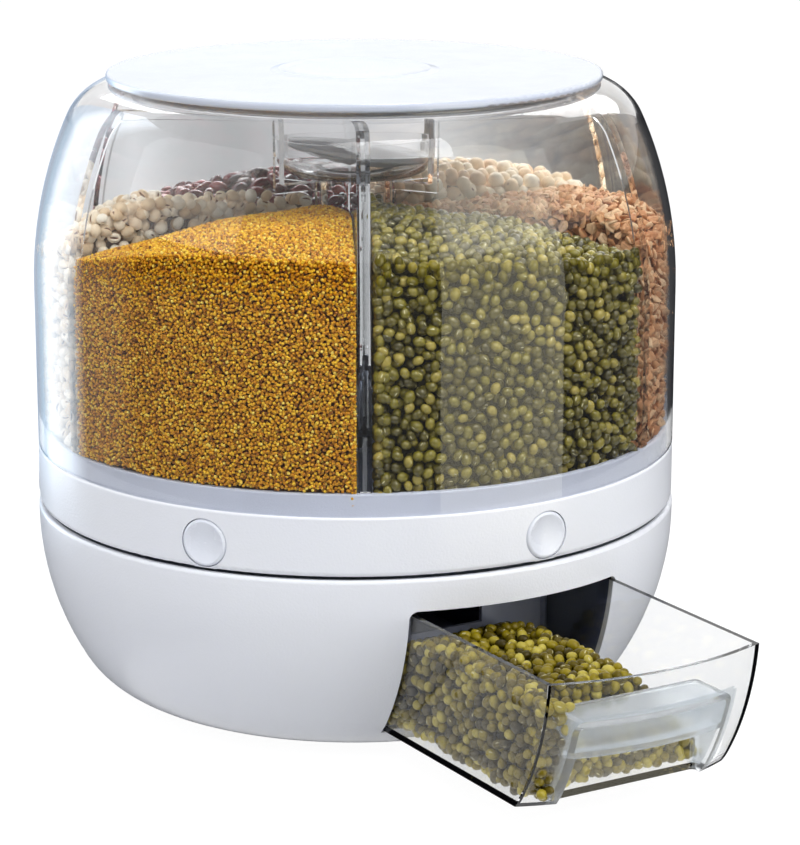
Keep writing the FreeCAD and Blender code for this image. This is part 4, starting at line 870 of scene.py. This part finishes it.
def beans_wall(start, end):
    """Beans against an upright wall from start to end, in plan, up to the heap's height."""
    start = np.array(start)
    end = np.array(end)
    length = float(np.linalg.norm(end - start))
    along_wall = (end - start) / length

    def allowed(across, along):
        spots = start + across[:, None] * along_wall
        heap = drawer_heap_height(spots[:, 0], spots[:, 1]) - DRAWER_MUNG.half_sizes[2]
        return (DRAWER_FLOOR + along < heap) & (along > DRAWER_MUNG.half_sizes[0])

    def place(across, along):
        spots = start + across[:, None] * along_wall
        points = np.column_stack([spots, DRAWER_FLOOR + along])
        return points, np.tile([along_wall[1], -along_wall[0], 0.0], (len(across), 1))

    return cover(DRAWER_MUNG, length, BEANS_REACH, allowed, place)


def beans_floor():
    """Beans on the drawer's floor, seen from below."""
    def allowed(across, along):
        y = DRAWER_BACK - along
        return between_walls(DRAWER_LEFT + across, y) & (y > POCKET_BACK + BEANS_MARGIN)

    def place(across, along):
        level = np.full(len(across), DRAWER_FLOOR)
        points = np.column_stack([DRAWER_LEFT + across, DRAWER_BACK - along, level])
        return points, np.tile([0.0, 0.0, -1.0], (len(across), 1))

    return cover(DRAWER_MUNG, DRAWER_RIGHT - DRAWER_LEFT, 145 * MM, allowed, place)


def beans_corner():
    """Beans behind the curved front, left of the pocket."""
    width = abs(DRAWER_LEFT + POCKET_HALF)

    def allowed(across, along):
        heap = drawer_heap_height(DRAWER_LEFT + across, POCKET_BACK)
        below = DRAWER_FLOOR + along < heap - DRAWER_MUNG.half_sizes[2]
        return below & (along > DRAWER_MUNG.half_sizes[0] + 1.5 * MM)

    def place(across, along):
        x = DRAWER_LEFT + BEANS_MARGIN + across
        z = DRAWER_FLOOR + along
        y = front_inner(x, z)
        outward = unit(np.column_stack([x, y - DRAWER_OUT, -0.3 * np.abs(y - DRAWER_OUT)]))
        return np.column_stack([x, y, z]), outward

    return cover(DRAWER_MUNG, width - BEANS_MARGIN, BEANS_REACH, allowed, place)


def beans_core():
    """The closed body inside the layers, up to where the heap runs out, coloured in painted shade for the
    beans in the depth.
    """
    inset = 5.5 * MM
    low = DRAWER_FLOOR + inset
    right = 38 * MM
    shares = np.linspace(0, 1, 16)
    x = DRAWER_LEFT + inset + shares * (right - DRAWER_LEFT - inset)
    upper = []
    lower = []
    for share in shares:
        y = np.full_like(x, POCKET_BACK + inset + share * (DRAWER_BACK - POCKET_BACK - 2 * inset))
        upper.append(np.column_stack([x, y, np.maximum(drawer_heap_height(x, y) - inset, low + MM)]))
        lower.append(np.column_stack([x, y, np.full_like(x, low)]))
    points, faces = closed_body(np.array([upper, lower]))
    mesh_piece("drawer_beans_depth", points, faces, green_painted_shade, "drawer")


def build_drawer_beans():
    """The core, the seen layers and the beans on the floor."""
    beans_core()
    layers = [
        beans_top(),
        beans_wall((DRAWER_LEFT, DRAWER_BACK), (DRAWER_LEFT, POCKET_BACK - 14 * MM)),
        beans_wall((-POCKET_HALF, POCKET_BACK), (DRAWER_RIGHT, POCKET_BACK)),
        beans_corner(),
    ]
    centres = np.concatenate([layer[0] for layer in layers])
    normals = np.concatenate([layer[1] for layer in layers])
    grain_pieces("drawer_beans", DRAWER_MUNG, centres, normals, "drawer")
    centres, normals = beans_floor()
    grain_pieces("drawer_beans_below", DRAWER_MUNG, centres, normals, "drawer")


build_drawer_beans()


# Floor and studio

def floor():
    """A pale floor that shows the shadow."""
    mesh = bpy.data.meshes.new("studio_floor")
    size = 6.0
    corners = [(-size, -size, 0), (size, -size, 0), (size, size, 0), (-size, size, 0)]
    mesh.from_pydata(corners, [], [(0, 1, 2, 3)])
    plane = bpy.data.objects.new("studio_floor", mesh)
    plane.location.z = -0.0005
    plane.visible_glossy = False
    bpy.context.scene.collection.objects.link(plane)
    material, tree, shader = new_material("studio_floor")
    shader.inputs["Base Color"].default_value = (0.5, 0.505, 0.52, 1.0)
    shader.inputs["Roughness"].default_value = 0.8
    rays = tree.nodes.new("ShaderNodeLightPath").outputs
    seen = reckon(tree, "MAXIMUM", rays["Is Camera Ray"], rays["Is Transmission Ray"])
    share = reckon(tree, "MULTIPLY", seen, 0.8)
    glow = add(tree, "Emission", Color=(1.0, 1.0, 1.0, 1.0), Strength=1.2)
    blend = tree.nodes.new("ShaderNodeMixShader")
    tree.links.new(share, blend.inputs["Fac"])
    tree.links.new(shader.outputs["BSDF"], blend.inputs[1])
    tree.links.new(glow.outputs["Emission"], blend.inputs[2])
    tree.links.new(blend.outputs["Shader"], tree.nodes["Material Output"].inputs["Surface"])
    mesh.materials.append(material)


def studio_world(strength, colour):
    """White behind the object, soft light all round it."""
    world = bpy.data.worlds.new("studio")
    world.use_nodes = True
    tree = world.node_tree
    backdrop = tree.nodes["Background"]
    backdrop.inputs["Color"].default_value = colour
    backdrop.inputs["Strength"].default_value = strength
    white = add(tree, "Background", Color=(1.0, 1.0, 1.0, 1.0), Strength=1.0)
    rays = tree.nodes.new("ShaderNodeLightPath").outputs
    seen = rays["Is Camera Ray"]
    for other in ("Is Glossy Ray", "Is Transmission Ray"):
        seen = reckon(tree, "MAXIMUM", seen, rays[other])
    blend = tree.nodes.new("ShaderNodeMixShader")
    tree.links.new(seen, blend.inputs["Fac"])
    tree.links.new(backdrop.outputs["Background"], blend.inputs[1])
    tree.links.new(white.outputs["Background"], blend.inputs[2])
    tree.links.new(blend.outputs["Shader"], tree.nodes["World Output"].inputs["Surface"])
    bpy.context.scene.world = world


CAMERA_BEARING = 30


def softbox(name, bearing, height, distance, width, tall, level, aim=0.15, in_gloss=False):
    """A rectangular lamp. Its bearing is from the camera's side, to the right, in degrees."""
    lamp = bpy.data.lights.new(name, "AREA")
    lamp.shape = "RECTANGLE"
    lamp.size = width
    lamp.size_y = tall
    lamp.energy = level * math.pi * width * tall
    holder = bpy.data.objects.new(name, lamp)
    angle = math.radians(bearing) - math.radians(CAMERA_BEARING)
    holder.location = (distance * math.sin(angle), -distance * math.cos(angle), height)
    pitch = math.atan2(height - aim, distance)
    holder.rotation_euler = Euler((math.pi / 2 - pitch, 0, angle))
    holder.visible_glossy = in_gloss
    bpy.context.scene.collection.objects.link(holder)


def card_mesh(name, points, faces, colours):
    """A card's mesh with its glow at each point."""
    mesh = bpy.data.meshes.new(name)
    mesh.from_pydata(points, [], faces)
    glow = mesh.attributes.new("glow", "FLOAT_COLOR", "POINT")
    glow.data.foreach_set("color", np.column_stack([colours, np.ones(len(points))]).ravel())
    return mesh


def glowing(name, mesh, seen_in):
    """A stage card that only rays of one kind see. It glows with its own point colours."""
    card = bpy.data.objects.new(name, mesh)
    bpy.context.scene.collection.objects.link(card)
    material, tree, shader = new_material(name)
    glow = add(tree, "Attribute")
    glow.attribute_name = "glow"
    light = add(tree, "Emission", Color=glow.outputs["Color"], Strength=1.0)
    tree.links.new(light.outputs["Emission"], tree.nodes["Material Output"].inputs["Surface"])
    mesh.materials.append(material)
    for kind in ("camera", "diffuse", "glossy", "transmission", "shadow", "volume_scatter"):
        setattr(card, "visible_" + kind, kind == seen_in)


def surround(name, radius, stops, seen_in):
    """An upright band round the object. Each stop has its bearing, lower and upper edge and glow."""
    table = np.array([(bearing, low, high, *colour) for bearing, low, high, colour in stops])
    steps = np.arange(table[0, 0], table[-1, 0] + 1, 1.0)
    low, high, *glow = (np.interp(steps, table[:, 0], column) for column in table[:, 1:].T)
    angles = np.radians(steps - CAMERA_BEARING)
    ring = np.stack([radius * np.sin(angles), -radius * np.cos(angles)], axis=1)
    points = np.concatenate([np.column_stack([ring, low]), np.column_stack([ring, high])])
    many = len(steps)
    faces = [(i, i + 1, many + i + 1, many + i) for i in range(many - 1)]
    colours = np.tile(np.stack(glow, axis=1), (2, 1))
    glowing(name, card_mesh(name, points.tolist(), faces, colours), seen_in)


def ceiling(name, radius, height, level):
    """A level card over the object, seen only as a reflection."""
    angles = np.linspace(0, 2 * math.pi, 24, endpoint=False)
    points = [(radius * math.sin(angle), radius * math.cos(angle), height) for angle in angles]
    rim = [tuple(range(len(points)))]
    glowing(name, card_mesh(name, points, rim, np.full((len(points), 3), level)), "glossy")


# Room round the object: dusk and sky, a bright window far back on the left and a tall one on the
# right. The grey room is what shows through the clear walls.

BLACK = (0.02, 0.02, 0.025)
DUSK = (0.3, 0.33, 0.38)
SKY = (0.5, 0.62, 0.8)
HAZE = (0.7, 1.1, 1.5)
WINDOW = (3.6, 4.1, 4.6)
DAYLIGHT = (2.1, 2.0, 1.6)

floor()
studio_world(0.4, (0.95, 0.97, 1.0, 1.0))
softbox("key_light", 24, 1.9, 1.05, 1.1, 1.1, 6.3)
softbox("side_light", -66, 0.8, 1.6, 1.5, 1.6, 1.3)
softbox("low_light", 56, 0.6, 1.7, 1.5, 1.5, 1.4)
softbox("back_light", 172, 0.9, 1.0, 1.4, 0.6, 5.0)
softbox("glint_light", 172, 1.25, 0.8, 0.12, 0.12, 60.0, in_gloss=True)
surround("low_room", 2.5, [(-180, -2.0, -0.56, BLACK), (180, -2.0, -0.56, BLACK)], "glossy")
surround("room", 2.5, [(bearing, -0.56, high, colour) for bearing, high, colour in (
    (-180, 0.45, SKY), (-156, 0.5, SKY), (-146, 1.6, HAZE), (-136, 2.4, WINDOW), (-120, 2.6, WINDOW),
    (-108, 2.6, DUSK), (-90, 2.6, DUSK), (-80, 2.6, BLACK), (120, 2.6, BLACK), (150, 0.45, BLACK),
    (180, 0.45, BLACK))], "glossy")
surround("tall_window", 1.5, [(bearing, -0.6, high, DAYLIGHT) for bearing, high in (
    (28, 2.0), (56, 1.95), (64, 1.7), (70, 1.2), (74, 0.3))], "glossy")
surround("grey_room", 0.48, [(bearing, 0.03, 0.3, (level, level, 1.02 * level)) for bearing, level in (
    (-180, 0.65), (-174.5, 0.6), (-170.5, 0.48), (-166.5, 0.6), (-162, 0.9), (-150, 0.4), (0, 0.3),
    (158, 0.05), (161, 0.08), (164.8, 0.26), (167, 0.32), (170.5, 0.52), (174, 0.72), (180, 0.65))],
    "transmission")
ceiling("ceiling", 2.5, 2.6, 0.15)


# Camera at the photograph's place

def photo_camera():
    """A long lens, a little above the lid, looking down at the drawer's left side."""
    camera = bpy.data.cameras.new("photo_camera")
    camera.sensor_fit = "VERTICAL"
    camera.sensor_height = 36.0
    camera.lens = 129.44
    holder = bpy.data.objects.new("photo_camera", camera)
    holder.location = (-0.7238, -1.2536, 0.4942)
    pitch = 0.248
    turn = 0.015
    holder.rotation_euler = Euler((math.pi / 2 - pitch, 0, -(math.radians(CAMERA_BEARING) + turn)))
    bpy.context.scene.collection.objects.link(holder)
    bpy.context.scene.camera = holder


photo_camera()

scene = bpy.context.scene
scene.view_settings.view_transform = "Standard"
scene.cycles.max_bounces = 20
scene.cycles.transmission_bounces = 16
scene.cycles.transparent_max_bounces = 24
scene.cycles.glossy_bounces = 6
scene.cycles.diffuse_bounces = 4
